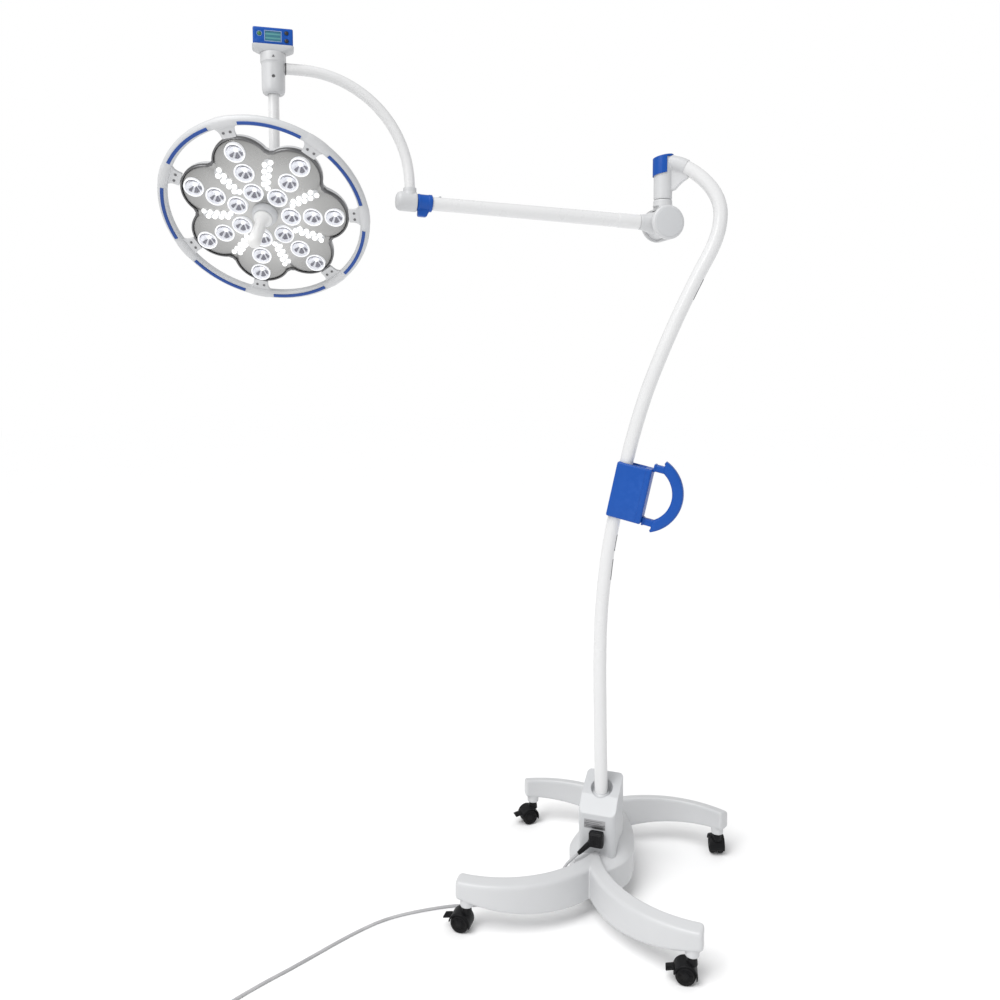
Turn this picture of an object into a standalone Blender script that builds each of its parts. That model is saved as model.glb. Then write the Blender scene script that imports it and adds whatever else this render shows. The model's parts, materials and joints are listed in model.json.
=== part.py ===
"""Mobile surgical light on a four-castor stand, modelled as separate solids in metres, +Z up.

The stand is laid out round its pole: X runs from the front left castor to the front right one,
and Y runs from the front of the stand to its back. STAND_X and STAND_Y shift that layout so that
the world origin lies on the floor under the middle of the object's bounding box.
"""
import math

import bmesh
import bpy
from mathutils import Euler, Matrix, Vector

# Place of the stand's pole axis in the world
STAND_X = 0.2815
STAND_Y = 0.226

CLEAR = 0.0003
TURN_X = (0.0, math.pi / 2, 0.0)
TURN_Y = (-math.pi / 2, 0.0, 0.0)

# Base casting: two splayed front legs, and a rear bar bowed back to both rear castors
CASTOR_REACH = 0.295
LEG_ARC_CENTRE = (0.310, -0.040)
LEG_OUTER_RADIUS = 0.356
LEG_INNER_RADIUS = 0.316
LEG_START_ANGLE = 172.0
LEG_CREASE_ANGLE = 147.0
LEG_END_X = 0.3225
LEG_CHAMFER = 0.007
REAR_ARC_CENTRE = (0.173, 0.021)
REAR_OUTER_RADIUS = 0.320
REAR_INNER_RADIUS = 0.280
REAR_START_ANGLE = 130.0
REAR_CREASE_ANGLE = 125.0
REAR_END_ANGLE = 62.3
LEG_TOP_OUTER = 0.137
LEG_TOP_INNER = 0.147
LEG_FLOOR_CREASE = 0.050
LEG_FLOOR_RISE = 0.040
BODY_HALF_WIDTH = 0.089
BODY_FRONT_LENGTH = 0.150
BODY_REAR_LENGTH = 0.262
BODY_TOP = 0.132
BOSS_RADIUS = 0.018
BOSS_BOTTOM = 0.068
BOSS_TOP = 0.110
BALLAST_SIZE = (0.100, 0.160, 0.036)
BALLAST_Z = 0.0695
POCKET_TOP = 0.088

# Castors
WHEEL_RADIUS = 0.025
WHEEL_WIDTH = 0.0165
WHEEL_WEB = 0.0042
CASTOR_TRAIL = 0.016
HOOD_RADIUS = 0.0297
HOOD_WIDTH = 0.046
STEM_RADIUS = 0.0055
CASTORS = (
    ("front_left", -1, -1, 3.0),
    ("front_right", 1, -1, 10.0),
    ("back_left", -1, 1, 39.0),
    ("back_right", 1, 1, -74.0),
)

# Column housing on the base
HOUSING_HALF_WIDTH = 0.053
HOUSING_HALF_DEPTH = 0.060
HOUSING_TOP = 0.325
HOUSING_SHOULDER = 0.250
HOUSING_LIP = 0.288
HOUSING_LIP_Y = -0.020
HOUSING_WALL = 0.005
HOUSING_CORNER = 0.012
HOLLOW_TOP = 0.240
RECESS_RADIUS = 0.030
RECESS_Y = 0.004
RECESS_FLOOR = 0.268
INLET_SIZE = (0.0334, 0.0324)
INLET_X = 0.003
INLET_Z = 0.1885

# Pole
POLE_RADIUS = 0.0185
POLE_WALL = 0.0025
POLE_BORE = 0.0195
POLE_FOOT = 0.0905
POLE_ROUTE = (
    (0.000, POLE_FOOT), (-0.001, 0.300), (-0.005, 0.500), (-0.007, 0.680), (-0.004, 0.800),
    (0.003, 0.890), (0.014, 0.985), (0.032, 1.085), (0.054, 1.190), (0.080, 1.301),
    (0.115, 1.420), (0.157, 1.532), (0.205, 1.644), (0.252, 1.742), (0.284, 1.804),
    (0.301, 1.850), (0.307, 1.892), (0.303, 1.926), (0.289, 1.957), (0.266, 1.986),
    (0.237, 2.011), (0.206, 2.030), (0.172, 2.041), (0.150, 2.044),
)

# Push handle on the pole, leaning with it
HANDLE_CENTRE = (0.0755, 1.153)
HANDLE_LEAN = 12.2
HANDLE_BOX = (0.0975, 0.056, 0.154)
GRIP_ARC_X = 0.0355
GRIP_ARC_Z = 0.006
GRIP_OUTER = 0.109
GRIP_INNER = 0.079
GRIP_DEPTH = 0.026
GRIP_ARC_SPAN = 67.0
GRIP_BAR_TOP = 0.085
GRIP_BAR_LOW = 0.066
GRIP_BAR_END = 0.0800

# Spindle that carries the arm
SPINDLE_X = 0.1555
SPINDLE_GROOVE_Z = 1.942
HOUSING_TUBE_RADIUS = 0.0245
CAP_RADIUS = 0.0275
CAP_SLOPE = 0.20
SHAFT_RADIUS = 0.0117
PIN_RADIUS = 0.0080
PIN_BORE = 0.0083

# Arm and bow
ARM_HEADING = 214.0
ARM_RISE = 2.49
PIVOT_Z = 1.879
HUB_RADIUS = 0.0385
HUB_HALF_WIDTH = 0.030
CHEEK_RADIUS = 0.045
CHEEK_OUTER = 0.042
ARM_NECK_END = 0.068
ARM_END = 0.626
COLLAR_END = 0.664
TEE_X = 0.681
BOW_RADIUS = 0.013
BOW_WALL = 0.002
BOW_BEND = 0.261
BOW_STRAIGHT = 0.068
HEAD_X = 1.005
HEAD_HOUSING = (0.266, 0.3396, 0.3607)
DISH_HEIGHT = 0.0155
PANEL_SIZE = (0.092, 0.034, 0.0405)
DROP_RADIUS = 0.0125
DROP_BORE = 0.0105
KNUCKLE_NECK = 0.0300
TILT_BORE = 0.0053

# Lamp head, in its own frame: u across, v up the face, n the light's direction
LIGHT_U = (0.95562, 0.29460, 0.0)
LIGHT_V = (0.19494, -0.63236, 0.74975)
LIGHT_N = (0.22087, -0.71648, -0.66172)
TILT_Z = 1.927
FACE_OFFSET = 0.1108
PETALS = 7
PETAL_ANGLE = 100.8
PETAL_CENTRE = 0.126
PETAL_RADIUS = 0.067
SHELL_FRONT = 0.003
SHELL_RIM = -0.011
SHELL_BACK = -0.042
LENS_RADII = (0.062, 0.112, 0.162)
LENS_RADIUS = 0.0228
RING_RADIUS = 0.230
RING_TUBE = 0.011
HANDLE_TIP = 0.125
LUG_X = 0.0178
LUG_RADIUS = 0.0145
LUG_WIDTH = 0.008
BRACKET_SIZE = (0.028, 0.0055)
SINK_RADIUS = 0.085
FIN_PITCH = 0.014

# Mains cord
CORD_RADIUS = 0.00375
CORD_STEP = 0.021
COIL_CENTRE = (-0.812, -0.8446)
COIL_MEAN_RADIUS = 0.0415
COIL_HALF_WIDTH = 0.0115
COIL_HEIGHT = 0.0225
CORD_FLOOR = 0.0038
RELIEF_START = (-0.010, -0.0745, 0.1790)
RELIEF_END = (-0.0440, -0.0880, 0.1470)
CORD_ROUTE = (
    (-0.0580, -0.0936, 0.1338), (-0.0745, -0.1005, 0.1160), (-0.0895, -0.1070, 0.0900),
    (-0.1040, -0.1135, 0.0610), (-0.1200, -0.1205, 0.0330), (-0.1420, -0.1295, 0.0130),
    (-0.1720, -0.1410, 0.0050), (-0.2080, -0.1540, CORD_FLOOR), (-0.2550, -0.1700, CORD_FLOOR),
    (-0.3120, -0.1920, CORD_FLOOR), (-0.3750, -0.2200, CORD_FLOOR),
    (-0.4370, -0.2610, CORD_FLOOR), (-0.4900, -0.3040, CORD_FLOOR),
    (-0.5280, -0.3450, CORD_FLOOR), (-0.5610, -0.3960, CORD_FLOOR),
    (-0.5930, -0.4570, CORD_FLOOR), (-0.6240, -0.5230, CORD_FLOOR),
    (-0.6540, -0.5860, CORD_FLOOR), (-0.6880, -0.6530, CORD_FLOOR),
    (-0.7170, -0.7180, CORD_FLOOR), (-0.7360, -0.7720, CORD_FLOOR),
    (-0.7490, -0.8180, CORD_FLOOR), (-0.7572, -0.8600, CORD_FLOOR),
)


def start_scene():
    """Empties the file and makes one collection for the parts and one for the cutters."""
    for old in list(bpy.data.objects):
        bpy.data.objects.remove(old, do_unlink=True)
    made = []
    for name in ("surgical_light", "cutters"):
        group = bpy.data.collections.new(name)
        bpy.context.scene.collection.children.link(group)
        made.append(group)
    return made


PARTS, CUTTERS = start_scene()


def material(name, colour, roughness, metallic=0.0):
    look = bpy.data.materials.new(name)
    look.use_nodes = True
    shader = look.node_tree.nodes["Principled BSDF"]
    shader.inputs["Base Color"].default_value = (*colour, 1.0)
    shader.inputs["Roughness"].default_value = roughness
    shader.inputs["Metallic"].default_value = metallic
    return look


WHITE = (0.86, 0.87, 0.88)
BLUE = (0.02, 0.10, 0.52)
BLACK = (0.015, 0.015, 0.017)
STEEL = (0.55, 0.56, 0.58)


def empty_at(name, location, parent=None, rotation=(0.0, 0.0, 0.0)):
    empty = bpy.data.objects.new(name, None)
    empty.location = location
    empty.rotation_euler = rotation
    empty.parent = parent
    empty.empty_display_size = 0.05
    PARTS.objects.link(empty)
    return empty


def place(obj, look, parent, location, rotation):
    obj.location = location
    obj.rotation_euler = rotation
    obj.parent = parent
    obj.data.materials.append(look)
    PARTS.objects.link(obj)
    return obj


def add_mesh(name, shape, look, parent, location=(0, 0, 0), rotation=(0, 0, 0)):
    """Turns a bmesh into a placed object, shaded smooth below 35 degrees."""
    mesh = bpy.data.meshes.new(name)
    shape.to_mesh(mesh)
    shape.free()
    mesh.shade_smooth()
    mesh.set_sharp_from_angle(angle=math.radians(35))
    return place(bpy.data.objects.new(name, mesh), look, parent, location, rotation)


def box(name, size, look, parent, location=(0, 0, 0), rotation=(0, 0, 0), bevel=0.0, rounds=2):
    shape = bmesh.new()
    bmesh.ops.create_cube(shape, size=1.0)
    bmesh.ops.scale(shape, vec=size, verts=shape.verts)
    obj = add_mesh(name, shape, look, parent, location, rotation)
    if bevel:
        soften = obj.modifiers.new("Bevel", "BEVEL")
        soften.width = bevel
        soften.segments = rounds
    return obj


def rods(name, pieces, look, parent, location=(0, 0, 0), rotation=(0, 0, 0), sides=24):
    """Cylinders and cones in one mesh: (radius, end radius, length, centre, turn) each."""
    shape = bmesh.new()
    for radius, end_radius, length, centre, turn in pieces:
        spot = Matrix.Translation(centre) @ Euler(turn).to_matrix().to_4x4()
        bmesh.ops.create_cone(shape, cap_ends=True, segments=sides, radius1=radius,
                              radius2=end_radius, depth=length, matrix=spot)
    return add_mesh(name, shape, look, parent, location, rotation)


def rod(name, radius, low, high, look, parent, location=(0, 0, 0), rotation=(0, 0, 0), sides=24):
    """A cylinder along its own Z, from low to high."""
    centre = (0.0, 0.0, (low + high) / 2)
    piece = (radius, radius, high - low, centre, (0.0, 0.0, 0.0))
    return rods(name, [piece], look, parent, location, rotation, sides)


def turned(name, profile, look, parent, location=(0, 0, 0), rotation=(0, 0, 0), steps=24,
           closed=False):
    """Screws a profile of (radius, height) points, listed down the outer side, about Z."""
    mesh = bpy.data.meshes.new(name)
    points = [(radius, 0.0, height) for radius, height in profile]
    edges = [(i, i + 1) for i in range(len(points) - 1)]
    if closed:
        edges.append((len(points) - 1, 0))
    mesh.from_pydata(points, edges, [])
    obj = place(bpy.data.objects.new(name, mesh), look, parent, location, rotation)
    screw = obj.modifiers.new("Screw", "SCREW")
    screw.steps = steps
    screw.render_steps = steps
    screw.use_merge_vertices = True
    screw.merge_threshold = 0.00001
    screw.use_smooth_shade = True
    return obj


def spline_object(name, points, look, parent, cyclic=False, flat=False):
    curve = bpy.data.curves.new(name, "CURVE")
    curve.dimensions = "2D" if flat else "3D"
    line = curve.splines.new("POLY")
    line.points.add(len(points) - 1)
    for knot, point in zip(line.points, points):
        knot.co = (*point, 0.0, 1.0) if flat else (*point, 1.0)
    line.use_cyclic_u = cyclic
    line.use_smooth = True
    return place(bpy.data.objects.new(name, curve), look, parent, (0, 0, 0), (0, 0, 0))


def tube(name, points, radius, look, parent, roundness=2, caps=True):
    obj = spline_object(name, points, look, parent)
    obj.data.bevel_depth = radius
    obj.data.bevel_resolution = roundness
    obj.data.use_fill_caps = caps
    return obj


def plate(name, outline, thickness, look, parent, location=(0, 0, 0), rotation=(0, 0, 0)):
    """A flat outline in X and Y, extruded half its thickness each way."""
    obj = spline_object(name, outline, look, parent, cyclic=True, flat=True)
    obj.data.fill_mode = "BOTH"
    obj.data.extrude = thickness / 2
    obj.location = location
    obj.rotation_euler = rotation
    return as_mesh(obj)


def as_mesh(curve_object):
    """Replaces a curve object by its welded mesh, which can take a Boolean."""
    bpy.context.view_layer.update()
    graph = bpy.context.evaluated_depsgraph_get()
    mesh = bpy.data.meshes.new_from_object(curve_object.evaluated_get(graph))
    shape = bmesh.new()
    shape.from_mesh(mesh)
    bmesh.ops.remove_doubles(shape, verts=shape.verts, dist=0.00001)
    bmesh.ops.recalc_face_normals(shape, faces=shape.faces)
    shape.to_mesh(mesh)
    shape.free()
    mesh.shade_smooth()
    mesh.set_sharp_from_angle(angle=math.radians(35))
    name = curve_object.name
    obj = bpy.data.objects.new(name + "_mesh", mesh)
    obj.parent = curve_object.parent
    obj.location = curve_object.location
    obj.rotation_euler = curve_object.rotation_euler
    PARTS.objects.link(obj)
    bpy.data.objects.remove(curve_object, do_unlink=True)
    obj.name = name
    return obj


def combine(target, tool, operation="DIFFERENCE"):
    """Cuts the tool out of the target, or joins it on, and puts the tool away."""
    change = target.modifiers.new(tool.name, "BOOLEAN")
    change.operation = operation
    change.solver = "EXACT"
    change.object = tool
    tool.hide_render = True
    tool.display_type = "WIRE"
    PARTS.objects.unlink(tool)
    CUTTERS.objects.link(tool)
    return target


def smooth_route(points, spacing):
    """Points at an even spacing along a Catmull-Rom curve through the given points."""
    knots = [Vector(point) for point in points]
    knots = [2 * knots[0] - knots[1], *knots, 2 * knots[-1] - knots[-2]]
    dense = []
    for a, b, c, d in zip(knots, knots[1:], knots[2:], knots[3:]):
        for part in range(24):
            t = part / 24
            dense.append(0.5 * (2 * b + (c - a) * t + (2 * a - 5 * b + 4 * c - d) * t ** 2
                                + (3 * b - a - 3 * c + d) * t ** 3))
    dense.append(knots[-2])
    lengths = [0.0]
    for a, b in zip(dense, dense[1:]):
        lengths.append(lengths[-1] + (b - a).length)
    count = round(lengths[-1] / spacing)
    route = []
    index = 0
    for number in range(count + 1):
        want = lengths[-1] * number / count
        while index < len(dense) - 2 and lengths[index + 1] < want:
            index += 1
        share = (want - lengths[index]) / (lengths[index + 1] - lengths[index])
        route.append(dense[index].lerp(dense[index + 1], share))
    return route


def loft(rings, cap_start=True, cap_end=True):
    """Joins rings of as many points each into one skin, for sections that change shape."""
    shape = bmesh.new()
    rows = [[shape.verts.new(point) for point in ring] for ring in rings]
    count = len(rings[0])
    for low, high in zip(rows, rows[1:]):
        for i in range(count):
            j = (i + 1) % count
            shape.faces.new((low[i], low[j], high[j], high[i]))
    if cap_start:
        shape.faces.new(reversed(rows[0]))
    if cap_end:
        shape.faces.new(rows[-1])
    bmesh.ops.recalc_face_normals(shape, faces=shape.faces)
    return shape


def shell_of(obj, wall):
    """Gives an open surface a wall on its inner side."""
    skin = obj.modifiers.new("Solidify", "SOLIDIFY")
    skin.thickness = wall
    skin.offset = -1.0
    skin.use_even_offset = True
    return obj


# ---------------------------------------------------------------- base and castors


def leg_section(centre, angle, outer, inner, floor, inset=0.0):
    """One section across a leg: six points from the outer bottom round to the inner bottom."""
    turn = math.radians(angle)
    along = Vector((math.cos(turn), math.sin(turn), 0.0))
    outer -= inset
    inner += inset
    drop = inset * 0.6
    spots = (
        (outer, floor),
        (outer, LEG_TOP_OUTER - LEG_CHAMFER - drop),
        (outer - LEG_CHAMFER, LEG_TOP_OUTER + 0.002 - drop),
        (inner + LEG_CHAMFER, LEG_TOP_INNER - drop),
        (inner, LEG_TOP_INNER - LEG_CHAMFER - drop),
        (inner, floor),
    )
    middle = Vector((*centre, 0.0))
    return [middle + along * radius + Vector((0.0, 0.0, height)) for radius, height in spots]


def front_section(angle, shift=0.0, inset=0.0):
    """A front leg's section, turned over to the front of the body."""
    share = max(0.0, min(1.0, (LEG_CREASE_ANGLE - angle) / (LEG_CREASE_ANGLE - 90.0)))
    centre = (LEG_ARC_CENTRE[0] + shift, LEG_ARC_CENTRE[1])
    ring = leg_section(centre, angle, LEG_OUTER_RADIUS, LEG_INNER_RADIUS,
                       LEG_FLOOR_CREASE + LEG_FLOOR_RISE * share ** 2, inset)
    return [Vector((point.x, -point.y, point.z)) for point in reversed(ring)]


def rear_section(angle, inset=0.0):
    span = REAR_CREASE_ANGLE - REAR_END_ANGLE
    share = max(0.0, min(1.0, (REAR_CREASE_ANGLE - angle) / span))
    return leg_section(REAR_ARC_CENTRE, angle, REAR_OUTER_RADIUS, REAR_INNER_RADIUS,
                       LEG_FLOOR_CREASE + LEG_FLOOR_RISE * share ** 0.8, inset)


def mirrored_legs(name, rings, paint, root):
    legs = add_mesh(name, loft(rings), paint, root)
    mirror = legs.modifiers.new("Mirror", "MIRROR")
    mirror.use_axis = (True, False, False)
    mirror.use_bisect_axis = (True, False, False)
    mirror.merge_threshold = 0.00005
    return legs


def build_base(root, paint):
    """The cast base: front legs, rear bar, a lens-shaped body between and castor bosses."""
    span = LEG_START_ANGLE - 90.0
    rings = [front_section(LEG_START_ANGLE - step * span / 12) for step in range(13)]
    end = LEG_END_X - LEG_ARC_CENTRE[0]
    rings.append(front_section(90.0, end - 0.006, 0.0))
    rings.append(front_section(90.0, end - 0.002, 0.0025))
    rings.append(front_section(90.0, end, 0.0065))
    legs = mirrored_legs("front_legs", rings, paint, root)
    span = REAR_START_ANGLE - REAR_END_ANGLE
    rings = [rear_section(REAR_START_ANGLE - step * span / 11) for step in range(12)]
    rings.append(rear_section(REAR_END_ANGLE - 0.8, 0.0025))
    rings.append(rear_section(REAR_END_ANGLE - 1.2, 0.0065))
    combine(legs, mirrored_legs("rear_bar", rings, paint, root), "UNION")
    seat = box("housing_seat", (2 * HOUSING_HALF_WIDTH + 0.001, 2 * HOUSING_HALF_DEPTH + 0.001, 0.1),
               paint, root, (0.0, 0.0, 0.150))
    combine(legs, seat)

    outline = []
    for side in (1, -1):
        for step in range(-9, 9):
            length = BODY_REAR_LENGTH if side * step > 0 else BODY_FRONT_LENGTH
            y = side * step / 9 * length
            outline.append((side * BODY_HALF_WIDTH * (1 - (step / 9) ** 2), y))
    levels = ((LEG_FLOOR_CREASE, 0.97), (LEG_FLOOR_CREASE + 0.004, 1.0), (BODY_TOP - 0.014, 1.0),
              (BODY_TOP - 0.004, 0.94), (BODY_TOP, 0.88))
    rings = [[(x * scale, y * scale, z) for x, y in outline] for z, scale in levels]
    base = add_mesh("base_legs", loft(rings), paint, root)
    combine(base, legs, "UNION")

    corners = [(sx * CASTOR_REACH, sy * CASTOR_REACH) for sx in (-1, 1) for sy in (-1, 1)]
    boss_mid = (BOSS_BOTTOM + BOSS_TOP) / 2
    bosses = [(BOSS_RADIUS, BOSS_RADIUS, BOSS_TOP - BOSS_BOTTOM, (x, y, boss_mid), (0, 0, 0))
              for x, y in corners]
    combine(base, rods("castor_bosses", bosses, paint, root), "UNION")
    bore = STEM_RADIUS + CLEAR
    stems = [(bore, bore, 0.06, (x, y, 0.075), (0, 0, 0)) for x, y in corners]
    combine(base, rods("stem_bores", stems, paint, root, sides=16))
    bore_low = POLE_FOOT - CLEAR
    combine(base, rod("pole_socket", POLE_BORE, bore_low, 0.2, paint, root, sides=32))
    pocket_size = (BALLAST_SIZE[0] + 2 * CLEAR, BALLAST_SIZE[1] + 2 * CLEAR, POCKET_TOP)
    pocket = box("ballast_pocket", pocket_size, paint, root, (0, 0, POCKET_TOP / 2))
    combine(base, pocket)
    return base


def build_castor(name, x, y, heading, root, looks):
    """One braked twin-wheel castor: hood with its stem, the wheel pair and the brake pedal."""
    swivel = empty_at("axis_" + name, (x, y, 0.0), root, (0.0, 0.0, math.radians(heading)))
    axle = (-CASTOR_TRAIL, 0.0, WHEEL_RADIUS)
    plastic = looks["castor"]
    hood = rods("castor_hood_" + name,
                [(HOOD_RADIUS, HOOD_RADIUS, HOOD_WIDTH, axle, TURN_Y)], plastic, swivel, sides=28)
    slot_width = HOOD_WIDTH / 2 - WHEEL_WEB + 0.003
    slot_y = WHEEL_WEB - 0.0007 + slot_width / 2
    slots = [(WHEEL_RADIUS + 0.0012, WHEEL_RADIUS + 0.0012, slot_width,
              (axle[0], side * slot_y, axle[2]), TURN_Y) for side in (-1, 1)]
    combine(hood, rods("wheel_slots_" + name, slots, plastic, swivel, sides=28))
    below = box("hood_cut_" + name, (0.08, 0.06, 0.04), plastic, swivel,
                (axle[0] - 0.004, 0.0, 0.0035), (0.0, math.radians(12), 0.0))
    combine(hood, below)
    boss = (0.0135, 0.0115, 0.021, (0.0, 0.0, 0.057), (0, 0, 0))
    stem = (STEM_RADIUS, STEM_RADIUS, 0.045, (0.0, 0.0, 0.0775), (0, 0, 0))
    slots_clear = rods("boss_clear_" + name,
                       [(WHEEL_RADIUS + 0.0012, WHEEL_RADIUS + 0.0012, 0.05, axle, TURN_Y)],
                       plastic, swivel, sides=28)
    post = rods("stem_boss_" + name, [boss], plastic, swivel, sides=16)
    combine(post, slots_clear)
    combine(hood, post, "UNION")
    combine(hood, rods("stem_" + name, [stem], plastic, swivel, sides=16), "UNION")
    bore = [(0.0044, 0.0044, 0.05, axle, TURN_Y)]
    combine(hood, rods("axle_bore_" + name, bore, plastic, swivel, sides=12))

    edge = WHEEL_WEB + WHEEL_WIDTH
    face = edge - 0.0025
    half = [(0.004, 0.0), (0.004, WHEEL_WEB), (0.0235, WHEEL_WEB),
            (WHEEL_RADIUS, WHEEL_WEB + 0.003), (WHEEL_RADIUS, edge - 0.004),
            (0.0235, edge), (0.017, edge), (0.0155, face), (0.0, face)]
    profile = [(radius, height) for radius, height in reversed(half)]
    profile += [(radius, -height) for radius, height in half[1:]]
    turned("castor_wheels_" + name, profile, looks["tyre"], swivel, axle, TURN_Y, steps=18)

    pedal_x = axle[0] - 0.0265
    hinge = empty_at("axis_pedal_" + name, (pedal_x, 0.0, 0.0385), swivel)
    box("brake_pedal_" + name, (0.020, 0.026, 0.0042), plastic, hinge,
        (-0.0118, 0.0, -0.0022), (0.0, math.radians(-12), 0.0), bevel=0.0012)


def build_column(root, looks):
    """Housing on the base, with the power supply inside and the inlet on its front."""
    white = looks["white"]
    corner = HOUSING_CORNER
    outline = []
    for sx, sy, start in ((1, 1, 0), (-1, 1, 90), (-1, -1, 180), (1, -1, 270)):
        for step in range(5):
            turn = math.radians(start + step * 22.5)
            outline.append((sx * (HOUSING_HALF_WIDTH - corner) + corner * math.cos(turn),
                            sy * (HOUSING_HALF_DEPTH - corner) + corner * math.sin(turn)))
    bottom = BODY_TOP + CLEAR
    height = HOUSING_TOP - bottom
    housing = plate("column_housing", outline, height, white, root,
                    (0.0, 0.0, bottom + height / 2))
    slope = math.atan2(HOUSING_LIP - HOUSING_SHOULDER, HOUSING_LIP_Y + HOUSING_HALF_DEPTH)
    crown = math.atan2(HOUSING_TOP - HOUSING_LIP, HOUSING_HALF_DEPTH - HOUSING_LIP_Y)
    for name, tilt, y, z in (("front_slope", slope, -HOUSING_HALF_DEPTH, HOUSING_SHOULDER),
                             ("top_slope", crown, HOUSING_HALF_DEPTH, HOUSING_TOP)):
        size = 0.2
        lift = Vector((0.0, -math.sin(tilt), math.cos(tilt))) * size / 2
        wedge = box(name, (size, size * 2, size), white, root,
                    (0.0, y + lift.y, z + lift.z), (tilt, 0.0, 0.0))
        combine(housing, wedge)
    recess = [(RECESS_RADIUS, RECESS_RADIUS, 0.1, (0.0, RECESS_Y, RECESS_FLOOR + 0.05),
               (0, 0, 0))]
    combine(housing, rods("pole_recess", recess, white, root, sides=28))
    combine(housing, rod("housing_bore", POLE_BORE, 0.05, 0.4, white, root, sides=32))
    inner = (2 * (HOUSING_HALF_WIDTH - HOUSING_WALL), 2 * (HOUSING_HALF_DEPTH - HOUSING_WALL), 0.2)
    combine(housing, box("housing_hollow", inner, white, root, (0.0, 0.0, HOLLOW_TOP - 0.1)))
    wide, tall = INLET_SIZE
    window = box("inlet_window", (wide + 2 * CLEAR, 0.03, tall + 2 * CLEAR), white, root,
                 (INLET_X, -HOUSING_HALF_DEPTH, INLET_Z))
    combine(housing, window)

    socket = box("inlet_socket", (wide, 0.027, tall), looks["black"], root,
                 (INLET_X, -HOUSING_HALF_DEPTH + 0.012, INLET_Z))
    cavity = box("inlet_cavity", (0.028, 0.032, 0.024), looks["black"], root,
                 (INLET_X, -HOUSING_HALF_DEPTH, INLET_Z))
    combine(socket, cavity)
    box("power_supply", (0.080, 0.026, 0.078), looks["steel"], root, (0.0, 0.037, 0.182),
        bevel=0.001, rounds=1)
    box("ballast_plate", BALLAST_SIZE, looks["iron"], root, (0.0, 0.0, BALLAST_Z),
        bevel=0.001, rounds=1)


# ---------------------------------------------------------------- pole, handle and spindle


def pole_path():
    return [(x, 0.0, z) for x, z in POLE_ROUTE]


def build_pole(root, looks):
    white = looks["white"]
    pole = as_mesh(tube("pole_tube", pole_path(), POLE_RADIUS, white, root, 3, False))
    shell_of(pole, POLE_WALL)
    end_cut = rod("pole_end_cut", HOUSING_TUBE_RADIUS + CLEAR, 1.9, 2.2, white, root,
                  (SPINDLE_X, 0.0, 0.0), sides=32)
    combine(pole, end_cut)

    lean = (0.0, math.radians(HANDLE_LEAN), 0.0)
    spot = (HANDLE_CENTRE[0], 0.0, HANDLE_CENTRE[1])
    case = box("handle_box", HANDLE_BOX, looks["blue"], root, spot, lean, bevel=0.006)
    fat = POLE_RADIUS + CLEAR
    combine(case, as_mesh(tube("handle_bore", pole_path(), fat, white, root, 3)))

    arc = [math.radians(GRIP_ARC_SPAN * (step / 7 - 1)) for step in range(15)]
    outer = [(GRIP_ARC_X + GRIP_OUTER * math.cos(t), GRIP_ARC_Z + GRIP_OUTER * math.sin(t))
             for t in arc]
    inner = [(GRIP_ARC_X + GRIP_INNER * math.cos(t), GRIP_ARC_Z + GRIP_INNER * math.sin(t))
             for t in reversed(arc)]
    side = HANDLE_BOX[0] / 2 + CLEAR
    top = [(side, GRIP_ARC_Z + GRIP_BAR_TOP), (side, GRIP_ARC_Z + GRIP_BAR_LOW),
           (GRIP_BAR_END, GRIP_ARC_Z + GRIP_BAR_LOW)]
    low = [(x, 2 * GRIP_ARC_Z - z) for x, z in reversed(top)]
    inner = [point for point in inner if abs(point[1] - GRIP_ARC_Z) < GRIP_BAR_LOW - 0.004]
    outline = outer + top + inner + low
    upright = Euler((math.pi / 2, 0.0, 0.0)).to_matrix()
    leaned = (Euler(lean).to_matrix() @ upright).to_euler()
    grip = plate("handle_grip", outline, GRIP_DEPTH, looks["blue"], root, spot, leaned)
    soften = grip.modifiers.new("Bevel", "BEVEL")
    soften.width = 0.004
    soften.segments = 2
    soften.limit_method = "ANGLE"
    soften.angle_limit = math.radians(50)


def sheared_rod(name, radius, low, high, look, parent, sides=32, slope_low=True):
    """A cylinder whose ends slope up to the right, as the hook's cap does."""
    shape = bmesh.new()
    spot = Matrix.Translation((0.0, 0.0, (low + high) / 2))
    bmesh.ops.create_cone(shape, cap_ends=True, segments=sides, radius1=radius, radius2=radius,
                          depth=high - low, matrix=spot)
    middle = (low + high) / 2
    for vert in shape.verts:
        if slope_low or vert.co.z > middle:
            vert.co.z += CAP_SLOPE * vert.co.x
    return add_mesh(name, shape, look, parent, (SPINDLE_X, 0.0, 0.0))


def build_spindle(root, looks):
    """The bearing housing at the end of the hook, its gusset and its blue cap."""
    white = looks["white"]
    bottom = SPINDLE_GROOVE_Z + 0.0005
    housing = sheared_rod("spindle_housing", HOUSING_TUBE_RADIUS, bottom, 2.052, white, root,
                          slope_low=False)
    web = [(0.010, 0.020), (0.010, 0.074), (0.026, 0.074), (0.0505, 0.0638), (0.0655, 0.0525),
           (0.0280, 0.020)]
    upright = (math.pi / 2, 0.0, 0.0)
    gusset = plate("hook_gusset", web, 0.016, white, root, (SPINDLE_X, 0.0, bottom), upright)
    combine(housing, gusset, "UNION")
    combine(housing, rod("spindle_bore", SHAFT_RADIUS + CLEAR, 1.9, 2.025, white, root,
                         (SPINDLE_X, 0.0, 0.0)))

    cap = sheared_rod("hook_cap", CAP_RADIUS, 2.0090, 2.0560, looks["blue"], root)
    hollow = sheared_rod("cap_hollow", HOUSING_TUBE_RADIUS + CLEAR, 1.99, 2.0523, white, root)
    combine(cap, hollow)
    side_cut = box("cap_side_cut", (0.04, 0.08, 0.12), white, root,
                   (SPINDLE_X + 0.0145 + 0.02, 0.0, 2.03))
    combine(cap, side_cut)


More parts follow.
